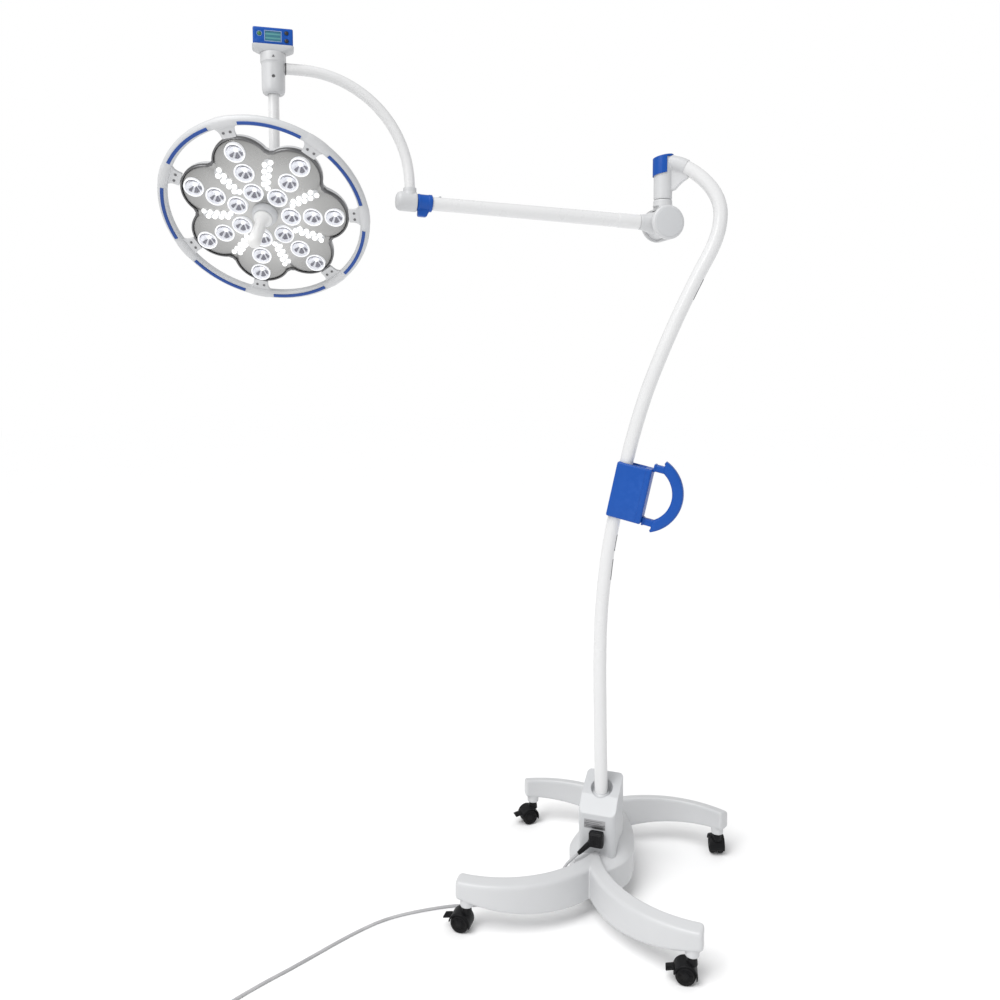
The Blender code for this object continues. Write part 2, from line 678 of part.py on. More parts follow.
# ---------------------------------------------------------------- swivel, arm and bow


def build_swivel(root, looks):
    """The swivel yoke below the spindle housing, and the pin that the arm lifts on."""
    white = looks["white"]
    facing = (0.0, 0.0, math.radians(ARM_HEADING))
    swivel = empty_at("axis_arm_swivel", (SPINDLE_X, 0.0, PIVOT_Z), root, facing)
    top = SPINDLE_GROOVE_Z - 0.0005 - PIVOT_Z
    yoke = rod("swivel_yoke", HOUSING_TUBE_RADIUS + 0.0005, 0.020, top, white, swivel, sides=28)
    cheeks = (CHEEK_RADIUS, CHEEK_RADIUS, 2 * CHEEK_OUTER, (0.0, 0.0, 0.0), TURN_Y)
    combine(yoke, rods("yoke_cheeks", [cheeks], white, swivel, sides=36), "UNION")
    clear_radius = HUB_RADIUS + 0.0006
    clear_width = 2 * (HUB_HALF_WIDTH + CLEAR)
    room = (clear_radius, clear_radius, clear_width, (0.0, 0.0, 0.0), TURN_Y)
    combine(yoke, rods("hub_room", [room], white, swivel, sides=36))
    mouth = box("neck_room", (0.09, clear_width, 0.168), white, swivel, (0.045, 0.0, -0.0475))
    combine(yoke, mouth)
    upper = box("neck_room_upper", (0.06, clear_width, 0.05), white, swivel,
                (0.0575, 0.0, 0.020))
    combine(yoke, upper)
    combine(yoke, rods("pin_bore", [(PIN_BORE, PIN_BORE, 0.1, (0, 0, 0), TURN_Y)], white, swivel,
                       sides=16))
    rods("pivot_pin", [(PIN_RADIUS, PIN_RADIUS, 2 * CHEEK_OUTER - 0.002, (0, 0, 0), TURN_Y)],
         looks["steel"], swivel, sides=16)
    rod("spindle_shaft", SHAFT_RADIUS, top + CLEAR, 2.020 - PIVOT_Z, looks["steel"], swivel,
        sides=20)


def build_arm(root, looks):
    """The sprung arm: hub, tapered tube, spring and locking collar."""
    white = looks["white"]
    tilt = Euler((0.0, math.radians(-ARM_RISE), 0.0)).to_matrix()
    facing = Euler((0.0, 0.0, math.radians(ARM_HEADING))).to_matrix()
    lift = empty_at("axis_arm_lift", (SPINDLE_X, 0.0, PIVOT_Z), root, (facing @ tilt).to_euler())
    hub_width = 2 * HUB_HALF_WIDTH
    hub = rods("arm_hub", [(HUB_RADIUS, HUB_RADIUS, hub_width, (0, 0, 0), TURN_Y)], white, lift,
               sides=36)
    neck = [(0.0285, 0.0190, ARM_NECK_END - 0.014, ((ARM_NECK_END + 0.014) / 2, 0, 0), TURN_X)]
    combine(hub, rods("arm_neck", neck, white, lift, sides=28), "UNION")
    combine(hub, rods("hub_bore", [(PIN_BORE, PIN_BORE, 0.1, (0, 0, 0), TURN_Y)], white, lift,
                      sides=16))

    start = ARM_NECK_END + CLEAR
    profile = [(0.0165, ARM_END), (0.0170, ARM_END - 0.006), (0.0182, 0.240), (0.0186, 0.130),
               (0.0194, 0.124), (0.0196, start), (0.0150, start), (0.0140, ARM_END)]
    turned("arm_tube", profile, white, lift, (0, 0, 0), TURN_X, steps=24, closed=True)
    coil = [(0.0130, 0.420), (0.0130, 0.110), (0.0090, 0.110), (0.0090, 0.420)]
    turned("arm_spring", coil, looks["steel"], lift, (0, 0, 0), TURN_X, steps=16, closed=True)

    collar_start = ARM_END + CLEAR
    collar = turned("lock_collar",
                    [(0.0125, COLLAR_END), (0.0195, COLLAR_END), (0.0210, COLLAR_END - 0.003),
                     (0.0210, collar_start + 0.003), (0.0195, collar_start),
                     (0.0125, collar_start)],
                    looks["blue"], lift, (0, 0, 0), TURN_X, steps=28, closed=True)
    lobe = box("collar_lobe", (COLLAR_END - collar_start - 0.006, 0.022, 0.020), looks["blue"],
               lift, ((COLLAR_END + collar_start) / 2, 0.0, -0.0245), bevel=0.004)
    combine(collar, lobe, "UNION")


def bow_points():
    """The bow's centre line from the tee up its bend to the head housing, in the arm's plane."""
    tee_z = TEE_X * math.tan(math.radians(ARM_RISE))
    points = [(TEE_X, 0.0, tee_z + 0.0345), (TEE_X, 0.0, BOW_STRAIGHT)]
    for step in range(1, 13):
        turn = math.radians(90.0 * step / 12)
        points.append((TEE_X + BOW_BEND * (1 - math.cos(turn)), 0.0,
                       BOW_STRAIGHT + BOW_BEND * math.sin(turn)))
    points.append((HEAD_X - 0.010, 0.0, BOW_STRAIGHT + BOW_BEND))
    return points


def build_bow(root, looks):
    """The tee on the arm's end, the bow, the head housing and its control panel."""
    white = looks["white"]
    facing = (0.0, 0.0, math.radians(ARM_HEADING))
    bow = empty_at("axis_bow", (SPINDLE_X, 0.0, PIVOT_Z), root, facing)
    tee_z = TEE_X * math.tan(math.radians(ARM_RISE))
    tilt = Euler((0.0, math.radians(90.0 - ARM_RISE), 0.0))
    start = COLLAR_END + CLEAR - TEE_X
    end = 0.035
    tee = turned("bow_tee",
                 [(0.0, end), (0.012, end - 0.001), (0.020, end - 0.006), (0.0235, end - 0.014),
                  (0.0240, end - 0.022), (0.0240, start + 0.004), (0.0225, start),
                  (0.0, start)],
                 white, bow, (TEE_X, 0.0, tee_z), tilt, steps=20)
    socket = rod("tee_socket", 0.0165, 0.0, 0.0342, white, bow, (TEE_X, 0.0, tee_z))
    combine(tee, socket, "UNION")
    shank = rods("tee_shank", [(0.0120, 0.0120, 0.050, (0, 0, start - 0.020), (0, 0, 0))], white,
                 bow, (TEE_X, 0.0, tee_z), tilt, sides=20)
    combine(tee, shank, "UNION")

    tube_mesh = as_mesh(tube("bow_tube", bow_points(), BOW_RADIUS, white, bow, 3, False))
    shell_of(tube_mesh, BOW_WALL)
    low, step, top = HEAD_HOUSING
    outer = [(0.0285, top), (0.0297, top - 0.0015), (0.0297, step), (0.0270, step - 0.001),
             (0.0270, low + 0.013), (0.0252, low + 0.004), (0.0215, low)]
    grown = [(radius + CLEAR, height) for radius, height in outer]
    grown = [(0.0, top + CLEAR)] + grown + [(0.0, low)]
    head_axis = (HEAD_X, 0.0, 0.0)
    combine(tube_mesh, turned("bow_end_cut", grown, white, bow, head_axis, steps=24))

    bore = DROP_RADIUS + CLEAR
    profile = outer + [(bore, low), (bore, 0.345), (0.0, 0.345)]
    profile = [(0.0, top)] + profile
    housing = turned("head_housing", profile, white, bow, head_axis, steps=24)
    screw = [(0.0040, 0.0040, 0.010, (HEAD_X, 0.0260, 0.303), TURN_Y)]
    combine(housing, rods("set_screw_bore", screw, white, bow, sides=16))

    dish_low = top + CLEAR
    box("panel_dish", (0.096, 0.050, DISH_HEIGHT), white, bow,
        (HEAD_X, 0.0, dish_low + DISH_HEIGHT / 2), bevel=0.0045)
    build_panel(bow, dish_low + DISH_HEIGHT + CLEAR, looks)


def build_panel(bow, low, looks):
    """The control panel: a case with a display and three push buttons on its face."""
    height = PANEL_SIZE[2]
    face = PANEL_SIZE[1] / 2
    middle = low + height / 2
    case = box("control_panel", PANEL_SIZE, looks["blue"], bow,
               (HEAD_X, 0.0, middle), bevel=0.003)
    window = box("display_window", (0.0366, 0.006, 0.0226), looks["blue"], bow,
                 (HEAD_X, face, middle))
    combine(case, window)
    spots = (("button_power", 0.031, 0.004), ("button_plus", -0.031, 0.009),
             ("button_minus", -0.031, -0.009))
    bores = [(0.0050, 0.0050, 0.016, (HEAD_X + x, face, middle + z), TURN_Y)
             for _, x, z in spots]
    combine(case, rods("button_bores", bores, looks["blue"], bow, sides=20))
    box("display", (0.036, 0.0022, 0.022), looks["display"], bow,
        (HEAD_X, face - 0.0016, middle))
    for name, x, z in spots:
        look = looks["green"] if name == "button_power" else looks["black"]
        hinge = empty_at("axis_" + name, (HEAD_X + x, face, middle + z), bow)
        rods(name, [(0.0046, 0.0042, 0.0062, (0.0, -0.0017, 0.0), TURN_Y)], look, hinge, sides=20)


def build_drop(root, looks):
    """The drop tube that turns in the head housing, with the knuckle at its lower end."""
    white = looks["white"]
    heading = math.radians(ARM_HEADING)
    x = SPINDLE_X + HEAD_X * math.cos(heading)
    y = HEAD_X * math.sin(heading)
    yaw = empty_at("axis_head_yaw", (x, y, TILT_Z), root)
    top = PIVOT_Z + 0.344 - TILT_Z
    low = KNUCKLE_NECK
    turned("drop_tube", [(DROP_RADIUS, top), (DROP_RADIUS, low + CLEAR),
                         (DROP_BORE, low + CLEAR), (DROP_BORE, top)], white, yaw, steps=24, closed=True)
    across = Matrix((LIGHT_U, (-LIGHT_U[1], LIGHT_U[0], 0.0), (0.0, 0.0, 1.0))).transposed()
    side = across.to_euler()
    knuckle = rods("tilt_knuckle", [(0.0150, 0.0150, 0.026, (0, 0, 0), TURN_X)], white, yaw,
                   (0, 0, 0), side, sides=28)
    neck = rod("knuckle_neck", 0.0122, 0.0, low, white, yaw)
    combine(knuckle, neck, "UNION")
    combine(knuckle, rods("knuckle_bore", [(TILT_BORE, TILT_BORE, 0.05, (0, 0, 0), TURN_X)], white,
                          yaw, (0, 0, 0), side, sides=16))
    return (x, y, TILT_Z)


# ---------------------------------------------------------------- lamp head


def petal_reach(angle, inset=0.0):
    """Distance from the head's centre to the petal outline, with its valleys rounded off."""
    def plain(direction):
        pitch = 2 * math.pi / PETALS
        off = (direction - math.radians(PETAL_ANGLE) + pitch / 2) % pitch - pitch / 2
        round_part = (PETAL_RADIUS - inset) ** 2 - (PETAL_CENTRE * math.sin(off)) ** 2
        return PETAL_CENTRE * math.cos(off) + math.sqrt(round_part)
    blur = math.radians(3.2)
    return (plain(angle - blur) + plain(angle) + plain(angle + blur)) / 3


def petal_outline(inset=0.0, scale=1.0, count=63):
    start = math.radians(PETAL_ANGLE)
    points = []
    for number in range(count):
        angle = start + 2 * math.pi * number / count
        reach = petal_reach(angle, inset) * scale
        points.append((reach * math.cos(angle), reach * math.sin(angle)))
    return points


def lens_spots():
    for petal in range(PETALS):
        angle = math.radians(PETAL_ANGLE - petal * 360.0 / PETALS)
        for radius in LENS_RADII:
            yield radius * math.cos(angle), radius * math.sin(angle)


def petal_plate(name, inset, low, high, look, head):
    return plate(name, petal_outline(inset), high - low, look, head,
                 (0.0, 0.0, FACE_OFFSET + (low + high) / 2))


def build_head(pivot, root, looks):
    """The lamp head, which tilts on the knuckle's pin."""
    axes = Matrix((LIGHT_U, LIGHT_V, LIGHT_N)).transposed()
    head = empty_at("axis_head_tilt", pivot, root, axes.to_euler())
    white = looks["white"]

    rings = []
    for level, scale in ((SHELL_FRONT, 1.0), (SHELL_RIM, 1.0), (SHELL_BACK, 0.80)):
        rings.append([(x, y, FACE_OFFSET + level) for x, y in petal_outline(0.0, scale)])
    shell_of(add_mesh("head_shell", loft(rings, cap_start=False), white, head), 0.003)

    hub_top = FACE_OFFSET + SHELL_BACK - CLEAR
    hub = turned("head_hub", [(0.0, hub_top), (0.052, hub_top), (0.052, hub_top - 0.008),
                              (0.036, 0.036), (0.0, 0.036)], white, head, steps=28)
    for sign, name in ((-1, "left"), (1, "right")):
        x = sign * LUG_X
        lug = rods("lug_round_" + name,
                   [(LUG_RADIUS, LUG_RADIUS, LUG_WIDTH, (x, 0, 0), TURN_X)], white, head,
                   sides=24)
        combine(lug, box("lug_stem_" + name, (LUG_WIDTH, 2 * LUG_RADIUS, 0.045), white, head,
                         (x, 0.0, 0.0225)), "UNION")
        combine(hub, lug, "UNION")
    combine(hub, rods("lug_bore", [(TILT_BORE, TILT_BORE, 0.08, (0, 0, 0), TURN_X)], white, head,
                      sides=16))
    rods("tilt_pin", [(0.005, 0.005, 0.0435, (0, 0, 0), TURN_X)], looks["steel"], head, sides=16)

    panel = petal_plate("front_panel", 0.0035, -0.0010, SHELL_FRONT, looks["silver"], head)
    hole = LENS_RADIUS + 0.0004
    holes = [(hole, hole, 0.02, (x, y, FACE_OFFSET), (0, 0, 0)) for x, y in lens_spots()]
    holes.append((0.0125, 0.0125, 0.02, (0.0, 0.0, FACE_OFFSET), (0, 0, 0)))
    combine(panel, rods("lens_holes", holes, white, head, sides=10))

    lenses = petal_plate("lens_array", 0.0055, -0.0060, -0.0015, looks["glass"], head)
    cups = [(LENS_RADIUS, LENS_RADIUS, 0.0075, (x, y, FACE_OFFSET - 0.0012), (0, 0, 0))
            for x, y in lens_spots()]
    combine(lenses, rods("lens_cups", cups, white, head, sides=10), "UNION")
    build_heat_sink(head, looks)
    build_sterile_handle(head, looks)
    build_ring(head, looks)


def build_heat_sink(head, looks):
    """A round plate with straight fins behind the lenses, which carries the lamps."""
    high = FACE_OFFSET - 0.0063
    sink = rod("heat_sink", SINK_RADIUS, high - 0.003, high, looks["steel"], head, sides=36)
    shape = bmesh.new()
    for number in range(-4, 5):
        spot = Matrix.Translation((number * FIN_PITCH, 0.0, high - 0.0105))
        fin = bmesh.ops.create_cube(shape, size=1.0, matrix=spot)
        bmesh.ops.scale(shape, vec=(0.0025, 0.110, 0.017), verts=fin["verts"],
                        space=spot.inverted())
    combine(sink, add_mesh("sink_fins", shape, looks["steel"], head), "UNION")


def build_sterile_handle(head, looks):
    """The socket in the middle of the face and the sterilisable handle pushed into it."""
    base = FACE_OFFSET + SHELL_FRONT + CLEAR
    turned("handle_socket", [(0.0190, base + 0.016), (0.0245, base + 0.0145), (0.0275, base + 0.008),
                             (0.0285, base), (0.0125, base), (0.0125, base + 0.016)],
           looks["white"], head, steps=20, closed=True)
    tip = FACE_OFFSET + HANDLE_TIP
    flange = base + 0.016 + CLEAR
    turned("sterile_handle",
           [(0.0, tip), (0.0080, tip - 0.0012), (0.0135, tip - 0.006), (0.0152, tip - 0.013),
            (0.0152, tip - 0.022), (0.0128, tip - 0.036), (0.0124, flange + 0.030),
            (0.0150, flange + 0.012), (0.0205, flange + 0.005), (0.0205, flange),
            (0.0120, flange), (0.0120, base + 0.001), (0.0, base + 0.001)],
           looks["handle"], head, steps=20)


def build_ring(head, looks):
    """The grip ring round the head and the bracket that holds it at each petal."""
    profile = []
    for step in range(10):
        turn = -2 * math.pi * step / 10 + math.pi / 2
        profile.append((RING_RADIUS + RING_TUBE * math.cos(turn), RING_TUBE * math.sin(turn)))
    turned("grip_ring", profile, looks["white"], head, (0.0, 0.0, FACE_OFFSET), steps=49,
           closed=True)
    inner = PETAL_CENTRE + PETAL_RADIUS + 0.0004
    outer = RING_RADIUS - RING_TUBE - 0.0015
    for number in range(PETALS):
        angle = math.radians(PETAL_ANGLE - number * 360.0 / PETALS)
        middle = (inner + outer) / 2
        spot = (middle * math.cos(angle), middle * math.sin(angle), FACE_OFFSET)
        box("ring_bracket_%d" % (number + 1), (outer - inner, *BRACKET_SIZE), looks["white"],
            head, spot, (0.0, 0.0, angle), bevel=0.0012, rounds=1)


# ---------------------------------------------------------------- mains cord


def cone_between(name, start, end, radius, end_radius, look, parent, sides=20):
    start = Vector(start)
    end = Vector(end)
    turn = (end - start).to_track_quat("Z", "Y").to_euler()
    piece = (radius, end_radius, (end - start).length, (0, 0, 0), (0, 0, 0))
    return rods(name, [piece], look, parent, (start + end) / 2, turn, sides)


def build_cord(root, looks):
    """The mains cord as it lies: plug in the inlet, the run over the floor, coil and plug."""
    black = looks["black"]
    plug = box("inlet_plug", (0.040, 0.0195, 0.041), black, root, (INLET_X, -0.0745, INLET_Z),
               bevel=0.004)
    nose = box("plug_nose", (0.0274, 0.022, 0.0234), black, root, (INLET_X, -0.0560, INLET_Z))
    combine(plug, nose, "UNION")
    relief = cone_between("plug_relief", RELIEF_START, RELIEF_END, 0.0085, 0.0055, black, root)
    combine(plug, relief, "UNION")

    start = Vector(RELIEF_END)
    heading = (start - Vector(RELIEF_START)).normalized()
    route = [start + heading * 2 * CLEAR, *CORD_ROUTE]
    run = smooth_route(route, CORD_STEP)
    for point in run:
        point.z = max(point.z, CORD_FLOOR)
    tube("cord_lead", run, CORD_RADIUS, looks["cord"], root, 2)

    outer = COIL_MEAN_RADIUS + COIL_HALF_WIDTH
    inner = COIL_MEAN_RADIUS - COIL_HALF_WIDTH
    edge = 0.0035
    coil = [(outer - edge, COIL_HEIGHT), (outer, COIL_HEIGHT - edge), (outer, edge),
            (outer - edge, 0.0001), (inner + edge, 0.0001), (inner, edge),
            (inner, COIL_HEIGHT - edge), (inner + edge, COIL_HEIGHT)]
    turned("cord_coil", coil, looks["cord"], root, (*COIL_CENTRE, 0.0), steps=28, closed=True)

    tip_x = COIL_CENTRE[0] - 0.003
    tip_y = COIL_CENTRE[1] - outer - 0.0048
    body = 0.0190
    mains = turned("mains_plug",
                   [(0.0, 0.076), (0.017, 0.076), (body, 0.074), (body, 0.052), (0.0165, 0.044),
                    (0.0085, 0.036), (0.0068, 0.018), (0.0045, 0.0), (0.0, 0.0)],
                   black, root, (tip_x, tip_y, body + 0.0001), (0.0, -math.pi / 2, 0.0), steps=20)
    pins = [(0.0024, 0.0022, 0.024, (tip_x - 0.084, tip_y + side * 0.0095, body), TURN_X)
            for side in (-1, 1)]
    combine(mains, rods("plug_pins", pins, looks["steel"], root, sides=12), "UNION")


def build():
    looks = {
        "white": material("white_paint", WHITE, 0.35),
        "blue": material("blue_plastic", BLUE, 0.35),
        "black": material("black_plastic", BLACK, 0.5),
        "castor": material("castor_plastic", BLACK, 0.45),
        "tyre": material("tyre_rubber", (0.02, 0.02, 0.02), 0.7),
        "steel": material("steel", STEEL, 0.35, 1.0),
        "iron": material("ballast_iron", (0.12, 0.12, 0.12), 0.6, 0.6),
        "silver": material("silver_panel", (0.62, 0.63, 0.62), 0.3, 0.7),
        "glass": material("lens_glass", (0.90, 0.92, 0.95), 0.05),
        "display": material("display", (0.05, 0.30, 0.33), 0.2),
        "green": material("green_button", (0.05, 0.35, 0.12), 0.4),
        "handle": material("handle_plastic", (0.90, 0.91, 0.92), 0.3),
        "cord": material("cord_sheath", (0.55, 0.55, 0.56), 0.5),
    }
    root = empty_at("stand_frame", (STAND_X, STAND_Y, 0.0))
    build_base(root, looks["white"])
    for name, sx, sy, heading in CASTORS:
        build_castor(name, sx * CASTOR_REACH, sy * CASTOR_REACH, heading, root, looks)
    build_column(root, looks)
    build_pole(root, looks)
    build_spindle(root, looks)
    build_swivel(root, looks)
    build_arm(root, looks)
    build_bow(root, looks)
    pivot = build_drop(root, looks)
    build_head(pivot, root, looks)
    build_cord(root, looks)


build()
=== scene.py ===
"""Looks of a mobile surgical light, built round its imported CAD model."""

import json
import math

import bmesh
import bpy
from mathutils import Euler, Matrix, Vector


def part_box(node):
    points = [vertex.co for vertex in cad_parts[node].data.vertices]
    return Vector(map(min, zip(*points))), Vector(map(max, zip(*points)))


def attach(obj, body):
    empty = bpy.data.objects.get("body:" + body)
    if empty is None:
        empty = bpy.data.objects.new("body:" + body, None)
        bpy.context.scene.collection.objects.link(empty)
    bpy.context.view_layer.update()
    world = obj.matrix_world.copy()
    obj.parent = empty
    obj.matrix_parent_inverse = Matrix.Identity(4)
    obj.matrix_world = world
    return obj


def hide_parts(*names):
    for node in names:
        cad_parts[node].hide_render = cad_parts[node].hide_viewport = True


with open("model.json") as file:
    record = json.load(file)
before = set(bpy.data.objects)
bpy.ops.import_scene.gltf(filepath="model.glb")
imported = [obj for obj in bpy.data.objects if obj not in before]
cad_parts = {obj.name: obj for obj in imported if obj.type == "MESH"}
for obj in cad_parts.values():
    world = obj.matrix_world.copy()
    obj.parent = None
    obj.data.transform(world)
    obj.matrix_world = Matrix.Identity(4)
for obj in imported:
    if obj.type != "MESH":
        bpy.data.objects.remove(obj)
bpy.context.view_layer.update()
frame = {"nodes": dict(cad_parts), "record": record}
NODES = frame["nodes"]
JOINTS = {joint["name"]: joint for joint in frame["record"]["behaviour"]["joints"]}
UP = Vector((0.0, 0.0, 1.0))


def joint_point(name):
    return Vector(JOINTS[name]["pos_m"])


def joint_axis(name):
    return Vector(JOINTS[name]["axis"]).normalized()


def middle_of(node):
    low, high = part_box(node)
    return (low + high) / 2


def basis(origin, x_axis, y_axis, z_axis):
    turn = Matrix((x_axis, y_axis, z_axis)).transposed().to_4x4()
    return Matrix.Translation(origin) @ turn


# Frames that the pieces are laid out in: the stand round its pole, the arm, the bow and the head
STAND_AT = middle_of("ballast_plate")
STAND_AT.z = 0.0
STAND = Matrix.Translation(STAND_AT)
PIVOT = joint_point("arm_lift")
ARM_X = joint_axis("bow_roll")
ARM_Y = -joint_axis("arm_lift")
ARM = basis(PIVOT, ARM_X, ARM_Y, ARM_X.cross(ARM_Y))
BOW = basis(PIVOT, ARM_Y.cross(UP), ARM_Y, UP)
SPINDLE = Matrix.Translation((PIVOT.x, PIVOT.y, 0.0))
TILT_AT = joint_point("head_tilt")
HEAD_U = joint_axis("head_tilt")
HEAD_N = joint_axis("handle_pull")
HEAD = basis(TILT_AT, HEAD_U, HEAD_N.cross(HEAD_U), HEAD_N)
DROP = basis(TILT_AT, HEAD_U, UP.cross(HEAD_U), UP)

TURN_X = Euler((0.0, math.pi / 2, 0.0)).to_matrix().to_4x4()
TURN_Y = Euler((-math.pi / 2, 0.0, 0.0)).to_matrix().to_4x4()


# ---------------------------------------------------------------- camera and light

camera_data = bpy.data.cameras.new("camera")
camera_data.lens = 31.97
camera_data.sensor_width = 36.0
camera_data.shift_y = -0.09
camera = bpy.data.objects.new("camera", camera_data)
camera.location = STAND_AT + Vector((0.5445, -2.4122, 1.5276))
camera.rotation_euler = (math.radians(86.49), 0.0, math.radians(19.42))
bpy.context.scene.collection.objects.link(camera)
bpy.context.scene.camera = camera


def area_light(name, location, target, size, power, tint=(1.0, 1.0, 1.0)):
    data = bpy.data.lights.new(name, "AREA")
    data.shape = "DISK"
    data.size = size
    data.energy = power
    data.color = tint
    lamp = bpy.data.objects.new(name, data)
    lamp.location = location
    lamp.rotation_euler = (Vector(target) - Vector(location)).to_track_quat("-Z", "Y").to_euler()
    bpy.context.scene.collection.objects.link(lamp)


def sun_light(name, source, angle, strength):
    """Even light from a direction, soft-edged, so that the floor is equally pale all over."""
    data = bpy.data.lights.new(name, "SUN")
    data.angle = math.radians(angle)
    data.energy = strength
    lamp = bpy.data.objects.new(name, data)
    lamp.rotation_euler = (-Vector(source)).to_track_quat("-Z", "Y").to_euler()
    bpy.context.scene.collection.objects.link(lamp)


def studio_world(lit, seen):
    """Grey light all round the object, in front of a white sweep."""
    world = bpy.data.worlds.new("studio")
    world.use_nodes = True
    tree = world.node_tree
    background = tree.nodes["Background"]
    path = tree.nodes.new("ShaderNodeLightPath")
    level = tree.nodes.new("ShaderNodeMapRange")
    level.inputs["To Min"].default_value = lit
    level.inputs["To Max"].default_value = seen
    tree.links.new(path.outputs["Is Camera Ray"], level.inputs["Value"])
    background.inputs["Color"].default_value = (1.0, 1.0, 1.0, 1.0)
    tree.links.new(level.outputs["Result"], background.inputs["Strength"])
    bpy.context.scene.world = world


sun_light("overhead_softbox", (-0.25, -0.55, 1.0), 38.0, 1.86)
area_light("key", (-0.9, -2.8, 3.0), (-0.1, 0.0, 1.8), 1.4, 24.0, (1.0, 0.99, 0.98))
area_light("fill", (3.2, -1.8, 2.2), (0.1, 0.0, 1.2), 1.8, 6.0, (0.95, 0.97, 1.0))
area_light("rim", (0.6, 3.0, 2.8), (0.0, 0.0, 1.2), 2.0, 8.0)
studio_world(0.52, 1.0)
bpy.context.scene.view_settings.view_transform = "Standard"


# ---------------------------------------------------------------- materials


class Look:
    """A Principled material and the few node patterns that its surface is made of."""

    def __init__(self, name, metallic=0.0, coat=0.0):
        self.material = bpy.data.materials.new(name)
        self.material.use_nodes = True
        self.tree = self.material.node_tree
        self.shader = self.tree.nodes["Principled BSDF"]
        self.shader.inputs["Metallic"].default_value = metallic
        self.shader.inputs["Coat Weight"].default_value = coat
        self.shader.inputs["Coat Roughness"].default_value = 0.12
        self.place = self.node("ShaderNodeTexCoord").outputs["Object"]

    def node(self, kind, **values):
        made = self.tree.nodes.new(kind)
        for key, value in values.items():
            setattr(made, key, value)
        return made

    def link(self, source, target):
        self.tree.links.new(source, target)

    def stretched(self, scale):
        """Object coordinates scaled differently along each axis, for brushed or drawn grain."""
        mapping = self.node("ShaderNodeMapping")
        mapping.inputs["Scale"].default_value = scale
        self.link(self.place, mapping.inputs["Vector"])
        return mapping.outputs["Vector"]

    def noise(self, scale, detail=4.0, roughness=0.55, place=None):
        texture = self.node("ShaderNodeTexNoise")
        texture.inputs["Scale"].default_value = scale
        texture.inputs["Detail"].default_value = detail
        texture.inputs["Roughness"].default_value = roughness
        self.link(place or self.place, texture.inputs["Vector"])
        return texture.outputs["Fac"]

    def cells(self, scale):
        texture = self.node("ShaderNodeTexVoronoi")
        texture.inputs["Scale"].default_value = scale
        self.link(self.place, texture.inputs["Vector"])
        return texture.outputs["Distance"]

    def ramp(self, value, low, high, low_out=0.0, high_out=1.0):
        change = self.node("ShaderNodeMapRange")
        change.inputs["From Min"].default_value = low
        change.inputs["From Max"].default_value = high
        change.inputs["To Min"].default_value = low_out
        change.inputs["To Max"].default_value = high_out
        self.link(value, change.inputs["Value"])
        return change.outputs["Result"]

    def edges(self):
        """Where the surface turns outward, as along an edge."""
        return self.ramp(self.node("ShaderNodeNewGeometry").outputs["Pointiness"], 0.54, 0.62)

    def mixed(self, share, first, second):
        """Two colours, or sockets that carry one, mixed by a share."""
        mix = self.node("ShaderNodeMix", data_type="RGBA")
        self.link(share, mix.inputs["Factor"])
        for spot, colour in ((6, first), (7, second)):
            if hasattr(colour, "links"):
                self.link(colour, mix.inputs[spot])
            else:
                mix.inputs[spot].default_value = (*colour, 1.0)
        return mix.outputs[2]

    def mottled(self, scale, dark, light, detail=4.0):
        """Two tones in soft clouds."""
        return self.mixed(self.ramp(self.noise(scale, detail), 0.35, 0.65), dark, light)

    def times(self, first, second):
        maths = self.node("ShaderNodeMath", operation="MULTIPLY")
        self.link(first, maths.inputs[0])
        if hasattr(second, "links"):
            self.link(second, maths.inputs[1])
        else:
            maths.inputs[1].default_value = second
        return maths.outputs[0]

    def bump(self, *layers):
        """Chains bumps: (height, distance in metres, strength) each."""
        before = None
        for height, distance, strength in layers:
            bump = self.node("ShaderNodeBump")
            bump.inputs["Strength"].default_value = strength
            bump.inputs["Distance"].default_value = distance
            self.link(height, bump.inputs["Height"])
            if before is not None:
                self.link(before, bump.inputs["Normal"])
            before = bump.outputs["Normal"]
        self.link(before, self.shader.inputs["Normal"])

    def colour(self, socket):
        self.link(socket, self.shader.inputs["Base Color"])

    def rough(self, socket, low, high):
        """Roughness that wanders between two values with a pattern."""
        self.link(self.ramp(socket, 0.3, 0.7, low, high), self.shader.inputs["Roughness"])


def painted(name, light, dark, worn, rough, peel, coat=0.0, specular=0.5):
    """Paint or moulded plastic: mottled tone, rubbed edges, faint smears and a fine skin."""
    look = Look(name, 0.0, coat)
    look.shader.inputs["Specular IOR Level"].default_value = specular
    tone = look.mottled(5.0, dark, light, 3.0)
    rubbed = look.times(look.edges(), look.ramp(look.noise(60.0, 5.0), 0.42, 0.62))
    look.colour(look.mixed(look.times(rubbed, 0.55), tone, worn))
    look.rough(look.noise(9.0, 6.0, 0.65), *rough)
    look.bump((look.noise(peel[0], 2.0), peel[1], peel[2]),
              (look.noise(peel[0] * 4.0, 1.0), peel[1] * 0.4, peel[2] * 0.7))
    return look.material


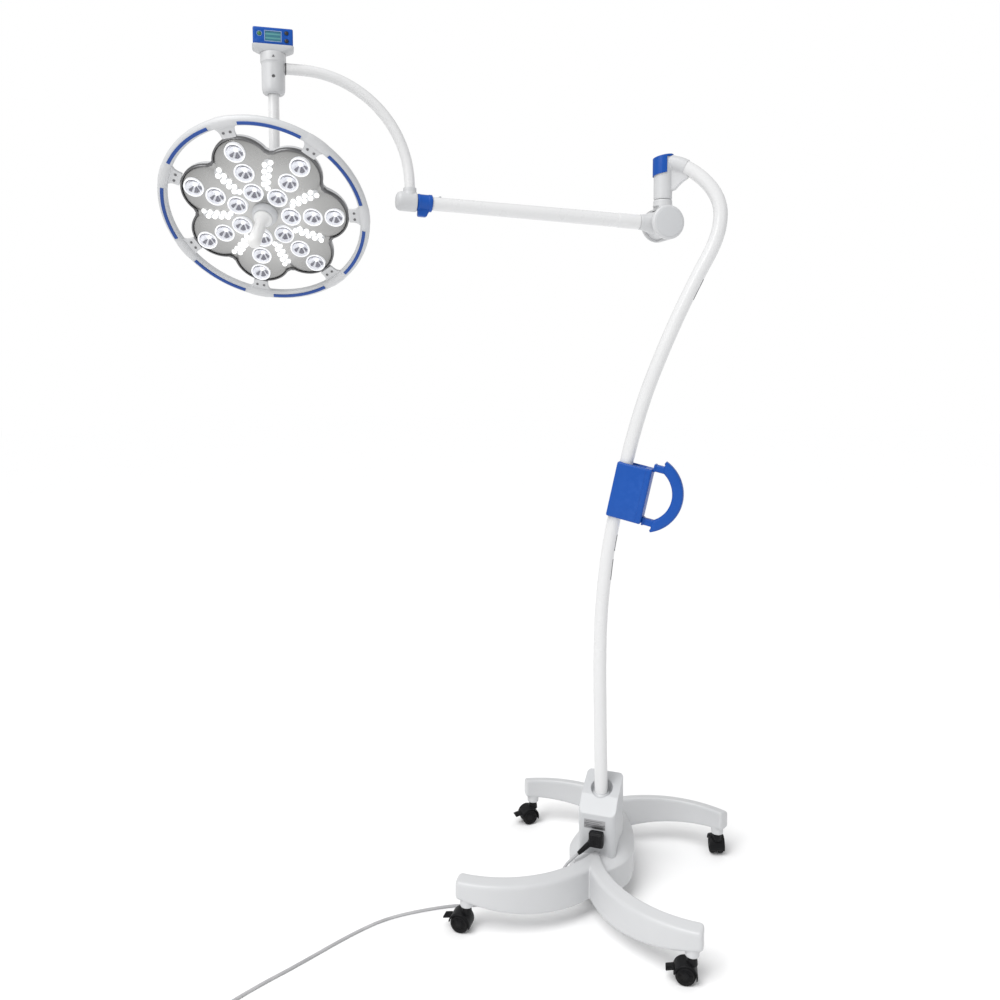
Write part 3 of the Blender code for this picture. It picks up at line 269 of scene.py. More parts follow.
WHITE_CAST = painted("white_cast_paint", (0.600, 0.606, 0.616), (0.578, 0.585, 0.596),
                     (0.66, 0.66, 0.66), (0.34, 0.46), (420.0, 0.0006, 0.16))
WHITE_PAINT = painted("white_gloss_paint", (0.740, 0.742, 0.746), (0.722, 0.725, 0.730),
                      (0.78, 0.78, 0.78), (0.24, 0.34), (260.0, 0.0002, 0.06), coat=0.2)
WHITE_PLASTIC = painted("white_moulded_plastic", (0.580, 0.590, 0.602), (0.560, 0.570, 0.584),
                        (0.68, 0.68, 0.68), (0.32, 0.42), (900.0, 0.0004, 0.22))
BLUE_PLASTIC = painted("blue_moulded_plastic", (0.004, 0.078, 0.390), (0.003, 0.072, 0.368),
                       (0.03, 0.13, 0.50), (0.34, 0.46), (1100.0, 0.0004, 0.30), specular=0.32)
BLACK_PLASTIC = painted("black_moulded_plastic", (0.009, 0.009, 0.010), (0.006, 0.006, 0.007),
                        (0.03, 0.03, 0.031), (0.40, 0.52), (1000.0, 0.0005, 0.35), specular=0.2)
CASTOR_PLASTIC = painted("black_castor_plastic", (0.008, 0.008, 0.009), (0.005, 0.005, 0.006),
                         (0.028, 0.028, 0.028), (0.36, 0.50), (700.0, 0.0005, 0.30), specular=0.14)
HANDLE_PLASTIC = painted("autoclavable_plastic", (0.80, 0.80, 0.79), (0.77, 0.77, 0.765),
                         (0.84, 0.84, 0.84), (0.26, 0.36), (700.0, 0.0003, 0.12))
GREEN_BUTTON = painted("green_button_plastic", (0.055, 0.20, 0.06), (0.04, 0.15, 0.045),
                       (0.12, 0.30, 0.12), (0.34, 0.44), (1500.0, 0.0003, 0.25))
DARK_BUTTON = painted("dark_button_plastic", (0.030, 0.026, 0.026), (0.020, 0.018, 0.018),
                      (0.07, 0.065, 0.06), (0.34, 0.46), (1500.0, 0.0003, 0.25))
LABEL_DARK = painted("dark_blank_label", (0.035, 0.035, 0.05), (0.022, 0.022, 0.032),
                     (0.07, 0.07, 0.08), (0.30, 0.42), (1400.0, 0.0002, 0.10))
FRAME_GREY = painted("pale_blue_frame", (0.30, 0.42, 0.62), (0.24, 0.35, 0.55),
                     (0.45, 0.55, 0.70), (0.30, 0.42), (1200.0, 0.0002, 0.15))
STRIP_BLUE = painted("ring_strip_blue", (0.004, 0.058, 0.300), (0.003, 0.050, 0.265),
                     (0.04, 0.12, 0.38), (0.34, 0.46), (1100.0, 0.0003, 0.2))


def metal(name, light, dark, rough, along=(1.0, 1.0, 30.0), scale=90.0, bump=0.12):
    """Machined or brushed metal, with its grain drawn out along one axis."""
    look = Look(name, 1.0)
    grain = look.noise(scale, 3.0, 0.6, look.stretched(along))
    tone = look.mottled(7.0, dark, light, 3.0)
    look.colour(look.mixed(look.times(look.ramp(grain, 0.4, 0.7), 0.35), tone, dark))
    look.rough(grain, *rough)
    look.bump((grain, 0.0003, bump))
    return look.material


STEEL = metal("machined_steel", (0.62, 0.63, 0.65), (0.46, 0.47, 0.49), (0.22, 0.38))
SINK = metal("extruded_aluminium", (0.66, 0.67, 0.69), (0.52, 0.53, 0.55), (0.30, 0.46),
             (20.0, 1.0, 1.0))
RIM_METAL = metal("dark_rim_metal", (0.22, 0.22, 0.225), (0.15, 0.15, 0.155), (0.30, 0.45),
                  (1.0, 1.0, 1.0), 300.0, 0.10)
PLATE_GREY = metal("brushed_plate_grey", (0.50, 0.50, 0.51), (0.38, 0.38, 0.39), (0.35, 0.50),
                   (1.0, 1.0, 24.0), 120.0, 0.10)


def cast_iron():
    look = Look("ballast_cast_iron", 0.7)
    pits = look.cells(240.0)
    look.colour(look.mottled(30.0, (0.07, 0.07, 0.072), (0.13, 0.125, 0.12)))
    look.link(look.ramp(pits, 0.0, 0.6, 0.75, 0.55), look.shader.inputs["Roughness"])
    look.bump((pits, 0.0008, 0.5), (look.noise(700.0), 0.0004, 0.4))
    return look.material


def tyre():
    look = Look("tyre_rubber_dusty")
    look.shader.inputs["Specular IOR Level"].default_value = 0.15
    dust = look.times(look.ramp(look.noise(40.0, 5.0), 0.45, 0.7), 0.5)
    look.colour(look.mixed(dust, (0.008, 0.008, 0.009), (0.024, 0.023, 0.022)))
    look.rough(look.noise(120.0), 0.60, 0.82)
    look.bump((look.noise(900.0, 3.0), 0.0005, 0.45))
    return look.material


def silver():
    """Satin metallic lacquer: fine flakes over a soft cloud of light and dark, with painted shade that
    darkens it towards the head's rim.
    """
    look = Look("silver_satin_lacquer_painted_rim_shade", 0.85, 0.15)
    flakes = look.cells(2600.0)
    tone = look.mottled(11.0, (0.47, 0.47, 0.465), (0.56, 0.56, 0.555), 3.0)
    # Painted shade: from 70 mm out from the head's centre to its rim the colour darkens towards dark
    # grey, as a soft shadow along the petals' outer edges.
    away = look.node("ShaderNodeVectorMath", operation="LENGTH")
    look.link(look.stretched((1.0, 1.0, 0.0)), away.inputs[0])
    outward = look.ramp(away.outputs["Value"], 0.070, 0.192)
    tone = look.mixed(outward, tone, (0.235, 0.235, 0.232))
    look.colour(look.mixed(look.times(look.ramp(flakes, 0.1, 0.5), 0.25), tone,
                           (0.60, 0.60, 0.59)))
    look.rough(look.noise(26.0, 5.0), 0.24, 0.34)
    look.bump((flakes, 0.00015, 0.20), (look.noise(500.0), 0.0003, 0.06))
    return look.material


def sheath():
    look = Look("grey_cord_sheath")
    look.colour(look.mottled(18.0, (0.40, 0.40, 0.41), (0.50, 0.50, 0.51)))
    look.rough(look.noise(60.0), 0.40, 0.56)
    look.bump((look.noise(1200.0, 3.0), 0.0004, 0.35))
    return look.material


def glass():
    """Clear lens plastic, with a faintly mottled tint."""
    look = Look("clear_lens_plastic")
    shader = look.shader
    shader.inputs["IOR"].default_value = 1.49
    shader.inputs["Transmission Weight"].default_value = 0.85
    look.colour(look.mixed(look.noise(30.0), (0.93, 0.95, 0.98), (0.98, 0.99, 1.0)))
    look.rough(look.noise(80.0), 0.04, 0.10)
    look.bump((look.noise(400.0), 0.0002, 0.05))
    return look.material


def glowing(name, light, dark, strength, scale=200.0, rough=0.3):
    """A self-lit surface, bright but still shaded a little: the lamps' own glow, painted light on the
    lens rims and cups, which are no lamps, and a faint glow on the dark facets.
    """
    look = Look(name)
    tone = look.mottled(scale, dark, light, 2.0)
    look.colour(tone)
    look.link(tone, look.shader.inputs["Emission Color"])
    look.shader.inputs["Emission Strength"].default_value = strength
    look.rough(look.noise(scale * 2.0), rough, rough + 0.12)
    look.bump((look.noise(scale * 3.0), 0.0002, 0.10))
    return look.material


def lcd():
    """A teal liquid-crystal screen with plain horizontal bars."""
    look = Look("teal_screen", 0.0, 0.6)
    wave = look.node("ShaderNodeTexWave", wave_type="BANDS", bands_direction="Z")
    wave.inputs["Scale"].default_value = 34.0
    wave.inputs["Distortion"].default_value = 0.0
    look.link(look.place, wave.inputs["Vector"])
    bars = look.ramp(wave.outputs["Fac"], 0.62, 0.78)
    tone = look.mixed(look.noise(30.0), (0.02, 0.105, 0.15), (0.03, 0.15, 0.19))
    tone = look.mixed(look.times(bars, 0.6), tone, (0.10, 0.30, 0.28))
    look.colour(tone)
    look.link(tone, look.shader.inputs["Emission Color"])
    look.shader.inputs["Emission Strength"].default_value = 0.35
    look.rough(look.noise(50.0), 0.10, 0.18)
    look.bump((look.noise(900.0), 0.0001, 0.05))
    return look.material


def clear_cover():
    """Thin glossy cover, nearly invisible."""
    look = Look("clear_lens_cover", 0.0, 0.5)
    look.shader.inputs["Alpha"].default_value = 0.10
    look.shader.inputs["IOR"].default_value = 1.49
    look.colour(look.mixed(look.noise(60.0), (0.86, 0.88, 0.93), (0.95, 0.96, 0.98)))
    look.rough(look.noise(90.0), 0.03, 0.08)
    look.bump((look.noise(500.0), 0.0001, 0.05))
    return look.material


def floor_paint():
    look = Look("pale_floor")
    look.shader.inputs["Specular IOR Level"].default_value = 0.0
    look.colour(look.mixed(look.noise(1.5, 3.0), (0.968, 0.968, 0.970), (0.976, 0.976, 0.977)))
    look.rough(look.noise(4.0), 0.55, 0.65)
    look.bump((look.noise(300.0), 0.0003, 0.04))
    return look.material


IRON = cast_iron()
TYRE = tyre()
SILVER_WITH_PAINTED_RIM_SHADE = silver()
CORD_LOOK = sheath()
LENS = glass()
LAMP_WHITE = glowing("small_lamp_white", (1.0, 1.0, 0.98), (0.94, 0.95, 0.95), 0.9)
# The lens rims and cups glow as painted light; they are no lamps.
LENS_RIM_PAINTED_GLOW = glowing("lens_rim_painted_glow", (0.92, 0.93, 0.95), (0.86, 0.87, 0.90), 0.30)
CUP_PAINTED_GLOW = glowing("lens_cup_painted_glow", (0.88, 0.89, 0.93), (0.74, 0.75, 0.80), 0.22, 90.0, 0.12)
# The dark core colour is the facets' own, and it also paints the shadow arcs on the cups' walls.
CORE_DARK_AND_PAINTED_SHADOW = glowing("lens_core_dark_and_painted_shadow", (0.075, 0.070, 0.125), (0.040, 0.040, 0.065), 0.02, 300.0, 0.2)
SCREEN = lcd()
COVER = clear_cover()

SLOT_LOOKS = {
    "white_cast": WHITE_CAST, "white_paint": WHITE_PAINT, "white_plastic": WHITE_PLASTIC,
    "blue_plastic": BLUE_PLASTIC, "black_plastic": BLACK_PLASTIC,
    "castor_plastic": CASTOR_PLASTIC, "tyre_rubber": TYRE, "steel": STEEL,
    "ballast_iron": IRON, "silver_panel": SILVER_WITH_PAINTED_RIM_SHADE, "lens_glass": LENS, "heat_sink": SINK,
    "display": SCREEN, "green_button": GREEN_BUTTON, "black_button": DARK_BUTTON,
    "handle_plastic": HANDLE_PLASTIC, "cord_sheath": CORD_LOOK,
}
for part in frame["record"]["subparts"]:
    NODES[part["node"]].data.materials.clear()
    NODES[part["node"]].data.materials.append(SLOT_LOOKS[part["material_slot"]])


# ---------------------------------------------------------------- mesh tools


def link(obj):
    bpy.context.scene.collection.objects.link(obj)
    return obj


def solid(name, shape, place=Matrix.Identity(4), smooth=35.0):
    """A bmesh as an object, faced outward and smooth below the given angle."""
    bmesh.ops.recalc_face_normals(shape, faces=shape.faces)
    mesh = bpy.data.meshes.new(name)
    shape.to_mesh(mesh)
    shape.free()
    mesh.shade_smooth()
    mesh.set_sharp_from_angle(angle=math.radians(smooth))
    obj = bpy.data.objects.new(name, mesh)
    obj.matrix_world = place
    return link(obj)


def add_lathe(shape, profile, steps=64, spot=Matrix.Identity(4), closed=False):
    """Turns a profile of (radius, height) about Z into a skin in the bmesh.

    A closed profile is joined from its last point to its first."""
    rows = []
    for radius, height in profile:
        if radius < 1e-6:
            rows.append([shape.verts.new(spot @ Vector((0.0, 0.0, height)))])
            continue
        row = []
        for step in range(steps):
            turn = 2 * math.pi * step / steps
            point = Vector((radius * math.cos(turn), radius * math.sin(turn), height))
            row.append(shape.verts.new(spot @ point))
        rows.append(row)
    for low, high in zip(rows, rows[1:] + rows[:1] if closed else rows[1:]):
        for i in range(steps):
            j = (i + 1) % steps
            ring = [low[i % len(low)], low[j % len(low)], high[j % len(high)],
                    high[i % len(high)]]
            face = [vert for number, vert in enumerate(ring) if vert not in ring[:number]]
            if len(face) > 2:
                shape.faces.new(face)


def lathe(name, profile, place=Matrix.Identity(4), steps=64, closed=False):
    shape = bmesh.new()
    add_lathe(shape, profile, steps, closed=closed)
    return solid(name, shape, place)


def rod(radius, high, low):
    """Profile of a plain cylinder."""
    return [(0.0, high), (radius, high), (radius, low), (0.0, low)]


def rounded(profile, radius, parts=4, closed=False):
    """The profile with its corners rounded off by up to the given radius."""
    count = len(profile)
    made = []
    for number in range(count):
        here = Vector(profile[number])
        if not closed and number in (0, count - 1):
            made.append(tuple(here))
            continue
        before = Vector(profile[number - 1]) - here
        after = Vector(profile[(number + 1) % count]) - here
        reach = min(radius, before.length * 0.45, after.length * 0.45)
        start = here + before.normalized() * reach
        end = here + after.normalized() * reach
        for part in range(parts + 1):
            t = part / parts
            made.append(tuple(start * (1 - t) ** 2 + here * 2 * t * (1 - t) + end * t ** 2))
    return made


def loft(rings, caps=True, shape=None):
    """Skins a row of rings of equal count, in a new bmesh or an old one."""
    shape = shape or bmesh.new()
    rows = [[shape.verts.new(point) for point in ring] for ring in rings]
    for low, high in zip(rows, rows[1:]):
        for i in range(len(low)):
            j = (i + 1) % len(low)
            shape.faces.new((low[i], low[j], high[j], high[i]))
    if caps:
        shape.faces.new(reversed(rows[0]))
        shape.faces.new(rows[-1])
    return shape


def ring_loft(rings):
    """A skin round a hollow form, whose last ring joins its first."""
    shape = loft([*rings, rings[0]], caps=False)
    bmesh.ops.remove_doubles(shape, verts=shape.verts, dist=0.000002)
    return shape


def box_shape(size, spot=Matrix.Identity(4), bevel=0.0, rounds=4, shape=None):
    shape = shape or bmesh.new()
    made = bmesh.ops.create_cube(shape, size=1.0)["verts"]
    bmesh.ops.scale(shape, vec=size, verts=made)
    if bevel:
        edges = list({edge for vert in made for edge in vert.link_edges})
        made = bmesh.ops.bevel(shape, geom=edges, offset=bevel, segments=rounds, profile=0.5,
                               affect="EDGES")["verts"]
    bmesh.ops.transform(shape, matrix=spot, verts=made)
    return shape


def block(name, size, place, bevel=0.002, rounds=4):
    return solid(name, box_shape(size, Matrix.Identity(4), bevel, rounds), place, 50.0)


def rounded_rect(half_x, half_y, corner, parts=8):
    """Outline of a rectangle with round corners."""
    points = []
    for sx, sy, start in ((1, 1, 0), (-1, 1, 90), (-1, -1, 180), (1, -1, 270)):
        for step in range(parts + 1):
            turn = math.radians(start + step * 90.0 / parts)
            points.append((sx * (half_x - corner) + corner * math.cos(turn),
                           sy * (half_y - corner) + corner * math.sin(turn)))
    return points


def at(x, y, z):
    return Matrix.Translation((x, y, z))


def smooth_route(points, spacing):
    """Points at an even spacing along a Catmull-Rom curve through the given points."""
    knots = [Vector(point) for point in points]
    knots = [2 * knots[0] - knots[1], *knots, 2 * knots[-1] - knots[-2]]
    dense = []
    for a, b, c, d in zip(knots, knots[1:], knots[2:], knots[3:]):
        for part in range(24):
            t = part / 24
            dense.append(0.5 * (2 * b + (c - a) * t + (2 * a - 5 * b + 4 * c - d) * t ** 2
                                + (3 * b - a - 3 * c + d) * t ** 3))
    dense.append(knots[-2])
    lengths = [0.0]
    for a, b in zip(dense, dense[1:]):
        lengths.append(lengths[-1] + (b - a).length)
    count = max(2, round(lengths[-1] / spacing))
    route = []
    index = 0
    for number in range(count + 1):
        want = lengths[-1] * number / count
        while index < len(dense) - 2 and lengths[index + 1] < want:
            index += 1
        share = (want - lengths[index]) / (lengths[index + 1] - lengths[index])
        route.append(dense[index].lerp(dense[index + 1], share))
    return route


def swept(points, section, side=None):
    """Rings of a section, given as (across, up) points, carried along a route.

    side is the direction that the section's first coordinate keeps to; without one the section
    turns as little as it can."""
    rings = []
    across = None
    for number, point in enumerate(points):
        ahead = points[min(number + 1, len(points) - 1)] - points[max(number - 1, 0)]
        ahead.normalize()
        if side is not None:
            across = side(point) if callable(side) else side
        elif across is None:
            across = ahead.orthogonal()
        across = (across - ahead * across.dot(ahead)).normalized()
        up = ahead.cross(across)
        rings.append([point + across * a + up * b for a, b in section])
    return rings


def circle(radius, sides=48):
    turns = [2 * math.pi * step / sides for step in range(sides)]
    return [(radius * math.cos(turn), radius * math.sin(turn)) for turn in turns]


def combine(target, tool, operation="DIFFERENCE"):
    """Cuts the tool out of the target, or joins it on, and keeps only the result."""
    change = target.modifiers.new("combine", "BOOLEAN")
    change.operation = operation
    change.solver = "EXACT"
    change.object = tool
    applied(target)
    bpy.data.objects.remove(tool, do_unlink=True)
    return target


def applied(obj):
    """Replaces an object's mesh by what its modifiers make of it."""
    bpy.context.view_layer.update()
    graph = bpy.context.evaluated_depsgraph_get()
    mesh = bpy.data.meshes.new_from_object(obj.evaluated_get(graph))
    obj.modifiers.clear()
    obj.data = mesh
    return obj


def shaded(obj, angle=40.0):
    """Smooth shading that leaves the edges sharper than the angle sharp."""
    obj.data.shade_smooth()
    obj.data.set_sharp_from_angle(angle=math.radians(angle))
    return obj


def tidy_edges(obj, width=0.0008, angle=40.0, segments=2):
    """Narrow bevels along the edges sharper than the angle."""
    soften = obj.modifiers.new("soften", "BEVEL")
    soften.width = width
    soften.segments = segments
    soften.limit_method = "ANGLE"
    soften.angle_limit = math.radians(angle)
    return shaded(applied(obj), angle)


def remeshed(obj, size, rounds=4, factor=0.5):
    """One soft casting out of joined solids: voxels, then a little smoothing."""
    voxels = obj.modifiers.new("voxels", "REMESH")
    voxels.mode = "VOXEL"
    voxels.voxel_size = size
    voxels.use_smooth_shade = True
    soften = obj.modifiers.new("soften", "SMOOTH")
    soften.factor = factor
    soften.iterations = rounds
    applied(obj)
    obj.data.shade_smooth()
    return obj


def piece(obj, body, slot, look, *nodes):
    """Gives an object its material and its body, and hides the CAD nodes that it stands for. The slot is
    not used.
    """
    obj.data.materials.clear()
    obj.data.materials.append(look)
    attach(obj, body)
    if nodes:
        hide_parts(*nodes)
    return obj


def copy_of(obj, name, place):
    made = obj.copy()
    made.name = name
    made.matrix_world = place
    return link(made)


# ---------------------------------------------------------------- mains cord

CORD_RADIUS = 0.00375
FLOOR_Z = 0.0038
TURN_GAP = 0.0077
COIL_CENTRE = Vector((-0.812, -0.8446, 0.0))
COIL_RADIUS = 0.0415
RELIEF_START = Vector((-0.010, -0.0745, 0.1790))
RELIEF_END = Vector((-0.0440, -0.0880, 0.1470))
CORD_ROUTE = (
    (-0.0580, -0.0936, 0.1338), (-0.0745, -0.1005, 0.1160), (-0.0895, -0.1070, 0.0900),
    (-0.1040, -0.1135, 0.0610), (-0.1200, -0.1205, 0.0330), (-0.1420, -0.1295, 0.0130),
    (-0.1720, -0.1410, 0.0050), (-0.2080, -0.1540, FLOOR_Z), (-0.2550, -0.1700, FLOOR_Z),
    (-0.3120, -0.1920, FLOOR_Z), (-0.3750, -0.2200, FLOOR_Z), (-0.4370, -0.2610, FLOOR_Z),
    (-0.4900, -0.3040, FLOOR_Z), (-0.5280, -0.3450, FLOOR_Z), (-0.5610, -0.3960, FLOOR_Z),
    (-0.5930, -0.4570, FLOOR_Z), (-0.6240, -0.5230, FLOOR_Z), (-0.6540, -0.5860, FLOOR_Z),
    (-0.6880, -0.6530, FLOOR_Z), (-0.7170, -0.7180, FLOOR_Z), (-0.7360, -0.7720, FLOOR_Z),
    (-0.7490, -0.8180, FLOOR_Z),
)
PLUG_TIP = Vector((-0.815, -0.9024, 0.0191))


def coil_points():
    """The coil from where the run meets it: clockwise from above, in layers, then to the plug.

    Each (turns, radius, height) row is a station that the next one is wound up to."""
    outer = COIL_RADIUS + TURN_GAP
    inner = COIL_RADIUS - TURN_GAP
    second = FLOOR_Z + TURN_GAP
    stations = (
        (0.04, outer + 0.0072, FLOOR_Z), (0.30, outer, FLOOR_Z), (0.90, outer, FLOOR_Z),
        (1.10, COIL_RADIUS, FLOOR_Z), (1.90, COIL_RADIUS, FLOOR_Z), (2.10, inner, FLOOR_Z),
        (2.90, inner, FLOOR_Z), (3.12, inner + 0.0012, second), (3.90, inner + 0.0012, second),
        (4.10, COIL_RADIUS, second), (4.90, COIL_RADIUS, second), (5.10, outer, second),
        (5.90, outer, second), (6.12, COIL_RADIUS + 0.002, second + TURN_GAP),
        (6.85, COIL_RADIUS + 0.002, second + TURN_GAP),
        (7.25, (PLUG_TIP - COIL_CENTRE).xy.length, PLUG_TIP.z),
    )
    points = []
    for (turn, radius, height), (next_turn, next_radius, next_height) in zip(stations,
                                                                             stations[1:]):
        count = max(2, round((next_turn - turn) * 36))
        for step in range(count):
            t = step / count
            blend = t * t * (3 - 2 * t)
            angle = -2 * math.pi * (turn + (next_turn - turn) * t)
            reach = radius + (next_radius - radius) * blend
            rise = height + (next_height - height) * blend
            points.append(COIL_CENTRE + Vector((reach * math.cos(angle), reach * math.sin(angle),
                                                rise)))
    return points


def build_cord():
    """The free cord from its strain relief to the mains plug, with the tie round its coil."""
    heading = (RELIEF_END - RELIEF_START).normalized()
    start = RELIEF_END + heading * 0.0006
    line = smooth_route([start, *CORD_ROUTE, *coil_points(), PLUG_TIP], 0.006)
    data = bpy.data.curves.new("mains_cord", "CURVE")
    data.dimensions = "3D"
    data.bevel_depth = CORD_RADIUS
    data.bevel_resolution = 5
    data.use_fill_caps = True
    spline = data.splines.new("POLY")
    spline.points.add(len(line) - 1)
    for knot, point in zip(spline.points, line):
        knot.co = (point.x, point.y, max(point.z, FLOOR_Z), 1.0)
    spline.use_smooth = True
    flex = link(bpy.data.objects.new("mains_cord", data))
    flex.matrix_world = STAND
    piece(flex, "stand", "cord_sheath", CORD_LOOK, "cord_lead", "cord_coil")

    plug = build_mains_plug()
    pins = build_plug_pins()
    tie = build_coil_tie()
    inlet = build_inlet_plug()


def build_mains_plug():
    """Round moulded plug body with a grip waist, and a ribbed relief where the cord enters."""
    body = 0.0190
    profile = [(0.0, 0.0765), (0.0165, 0.0765), (body, 0.0745), (body, 0.060), (0.0178, 0.057),
               (0.0178, 0.0545), (body, 0.052), (0.0172, 0.0455), (0.0115, 0.0400),
               (0.0088, 0.0375)]
    height = 0.0350
    radius = 0.0082
    while height > 0.004:
        profile += [(radius, height), (radius, height - 0.0018), (radius - 0.0014, height - 0.0024),
                    (radius - 0.0014, height - 0.0036)]
        height -= 0.0042
        radius -= 0.00038
    profile += [(0.0046, 0.0), (0.0, 0.0)]
    spot = Matrix.Translation(STAND_AT + PLUG_TIP) @ Euler((0.0, -math.pi / 2, 0.0)).to_matrix(
        ).to_4x4()
    plug = lathe("mains_plug_body", rounded(profile, 0.0008, 2), spot, 56)
    return piece(plug, "stand", "black_plastic", BLACK_PLASTIC, "mains_plug")


def build_plug_pins():
    shape = bmesh.new()
    pin = rounded(rod(0.0024, 0.012, -0.0125), 0.0018)
    for side in (-1, 1):
        spot = Matrix.Translation((-0.0875, side * 0.0095, 0.0)) @ TURN_X.inverted()
        add_lathe(shape, pin, 24, spot)
    pins = solid("mains_plug_pins", shape, Matrix.Translation(STAND_AT + PLUG_TIP))
    return piece(pins, "stand", "black_plastic", STEEL)


def build_coil_tie():
    """A soft strap round the bundle of turns, on the side away from the plug."""
    across = COIL_RADIUS
    half = TURN_GAP + CORD_RADIUS + 0.0009
    top = FLOOR_Z + 2 * TURN_GAP + CORD_RADIUS + 0.0009
    corners = [(across - half, 0.0001), (across + half, 0.0001), (across + half, 0.0145),
               (across + half * 0.55, top), (across - half * 0.55, top), (across - half, 0.0145)]
    path = rounded(corners, 0.006, 6, closed=True)
    rings = []
    for number, (x, z) in enumerate(path):
        ahead = Vector(path[(number + 1) % len(path)]) - Vector(path[number - 1])
        out = Vector((ahead.y, -ahead.x)).normalized() * 0.0008
        rings.append([Vector((x, -0.006, z)), Vector((x, 0.006, z)),
                      Vector((x + out.x, 0.006, max(z + out.y, 0.0))),
                      Vector((x + out.x, -0.006, max(z + out.y, 0.0)))])
    turn = Matrix.Rotation(math.radians(130.0), 4, "Z")
    tie = solid("coil_tie", ring_loft(rings), Matrix.Translation(STAND_AT + COIL_CENTRE) @ turn)
    return piece(tie, "stand", "black_plastic", BLACK_PLASTIC)


def build_inlet_plug():
    """The connector in the housing's inlet: a stepped body with grip ribs and a bent relief."""
    centre = Vector((0.003, -0.0745, 0.1885))
    shape = box_shape((0.040, 0.0195, 0.041), Matrix.Translation(centre), 0.0042, 4)
    box_shape((0.0355, 0.006, 0.0365), Matrix.Translation(centre + Vector((0, -0.0106, 0))),
              0.0028, 3, shape)
    box_shape((0.0274, 0.022, 0.0234), Matrix.Translation((0.003, -0.0560, 0.1885)), 0.001, 2,
              shape)
    for step in range(5):
        spot = Matrix.Translation(centre + Vector((-0.010 + step * 0.005, -0.0138, 0.002)))
        box_shape((0.0018, 0.0016, 0.024), spot, 0.0006, 2, shape)
    ahead = (RELIEF_END - RELIEF_START).normalized()
    turn = ahead.to_track_quat("Z", "Y").to_matrix().to_4x4()
    length = (RELIEF_END - RELIEF_START).length
    profile = [(0.0, -0.010), (0.0098, -0.010), (0.0098, 0.004)]
    height = 0.006
    while height < length - 0.004:
        share = height / length
        radius = 0.0088 - 0.0030 * share
        profile += [(radius, height), (radius, height + 0.0024), (radius - 0.0013, height + 0.0028),
                    (radius - 0.0013, height + 0.0040)]
        height += 0.0044
    profile += [(0.0054, length - 0.0012), (0.0054, length), (0.0, length)]
    add_lathe(shape, rounded(profile, 0.0006, 2), 40, Matrix.Translation(RELIEF_START) @ turn)
    inlet = solid("inlet_connector", shape, STAND, 45.0)
    return piece(inlet, "stand", "black_plastic", BLACK_PLASTIC, "inlet_plug")


build_cord()


# ---------------------------------------------------------------- floor

shape = bmesh.new()
bmesh.ops.create_grid(shape, x_segments=40, y_segments=40, size=14.0)
floor = solid("floor", shape, Matrix.Translation((0.0, 4.0, 0.0)))
floor.data.materials.append(floor_paint())


# ---------------------------------------------------------------- base

INLET_X = 0.003
INLET_Z = 0.1885
PLATE_X = -0.005
CASTOR_REACH = 0.295
LEG_ARC_CENTRE = (0.310, -0.040)
LEG_OUTER = 0.356
LEG_INNER = 0.316
LEG_START_ANGLE = 172.0
LEG_CREASE_ANGLE = 147.0
LEG_END_X = 0.3225
LEG_TOP_OUTER = 0.1385
LEG_TOP_INNER = 0.1475
LEG_FLOOR = 0.050
LEG_FLOOR_RISE = 0.040
BODY_HALF_WIDTH = 0.089
BODY_FRONT_LENGTH = 0.138
BODY_REAR_LENGTH = 0.258
REAR_ARC_CENTRE = (0.173, 0.021)
REAR_OUTER = 0.320
REAR_INNER = 0.280
REAR_START_ANGLE = 130.0
REAR_CREASE_ANGLE = 125.0
REAR_END_ANGLE = 62.3


def leg_ring(centre, angle, outer, inner, low, inset=0.0):
    """One closed section across a leg, its top corners rounded."""
    turn = math.radians(angle)
    along = Vector((math.cos(turn), math.sin(turn), 0.0))
    outer -= inset
    inner += inset
    low += inset * 0.4
    drop = inset * 0.5
    corners = [(outer, low), (outer, LEG_TOP_OUTER - drop), (inner, LEG_TOP_INNER - drop),
               (inner, low)]
    ring = rounded(corners, 0.0095, 5, closed=True)
    middle = Vector((*centre, 0.0))
    return [middle + along * radius + Vector((0.0, 0.0, height)) for radius, height in ring]


def front_ring(angle, shift=0.0, inset=0.0):
    share = max(0.0, min(1.0, (LEG_CREASE_ANGLE - angle) / (LEG_CREASE_ANGLE - 90.0)))
    ring = leg_ring((LEG_ARC_CENTRE[0] + shift, LEG_ARC_CENTRE[1]), angle, LEG_OUTER,
                    LEG_INNER, LEG_FLOOR + LEG_FLOOR_RISE * share ** 2, inset)
    return [Vector((point.x, -point.y, point.z)) for point in reversed(ring)]


def rear_ring(angle, inset=0.0):
    share = (REAR_CREASE_ANGLE - angle) / (REAR_CREASE_ANGLE - REAR_END_ANGLE)
    share = max(0.0, min(1.0, share))
    return leg_ring(REAR_ARC_CENTRE, angle, REAR_OUTER, REAR_INNER,
                    LEG_FLOOR + LEG_FLOOR_RISE * share ** 0.8, inset)


def mirrored_legs(name, rings):
    legs = solid(name, loft(rings), STAND)
    mirror = legs.modifiers.new("mirror", "MIRROR")
    mirror.use_axis = (True, False, False)
    mirror.use_bisect_axis = (True, False, False)
    mirror.merge_threshold = 0.00005
    return applied(legs)


def body_top(y, share):
    """The body's crowned top: it climbs from its edge to the foot of the housing."""
    back = max(0.0, min(1.0, (y + 0.085) / 0.085))
    return 0.122 + (0.012 + 0.044 * back * back * (3 - 2 * back)) * (1 - share ** 2.2)


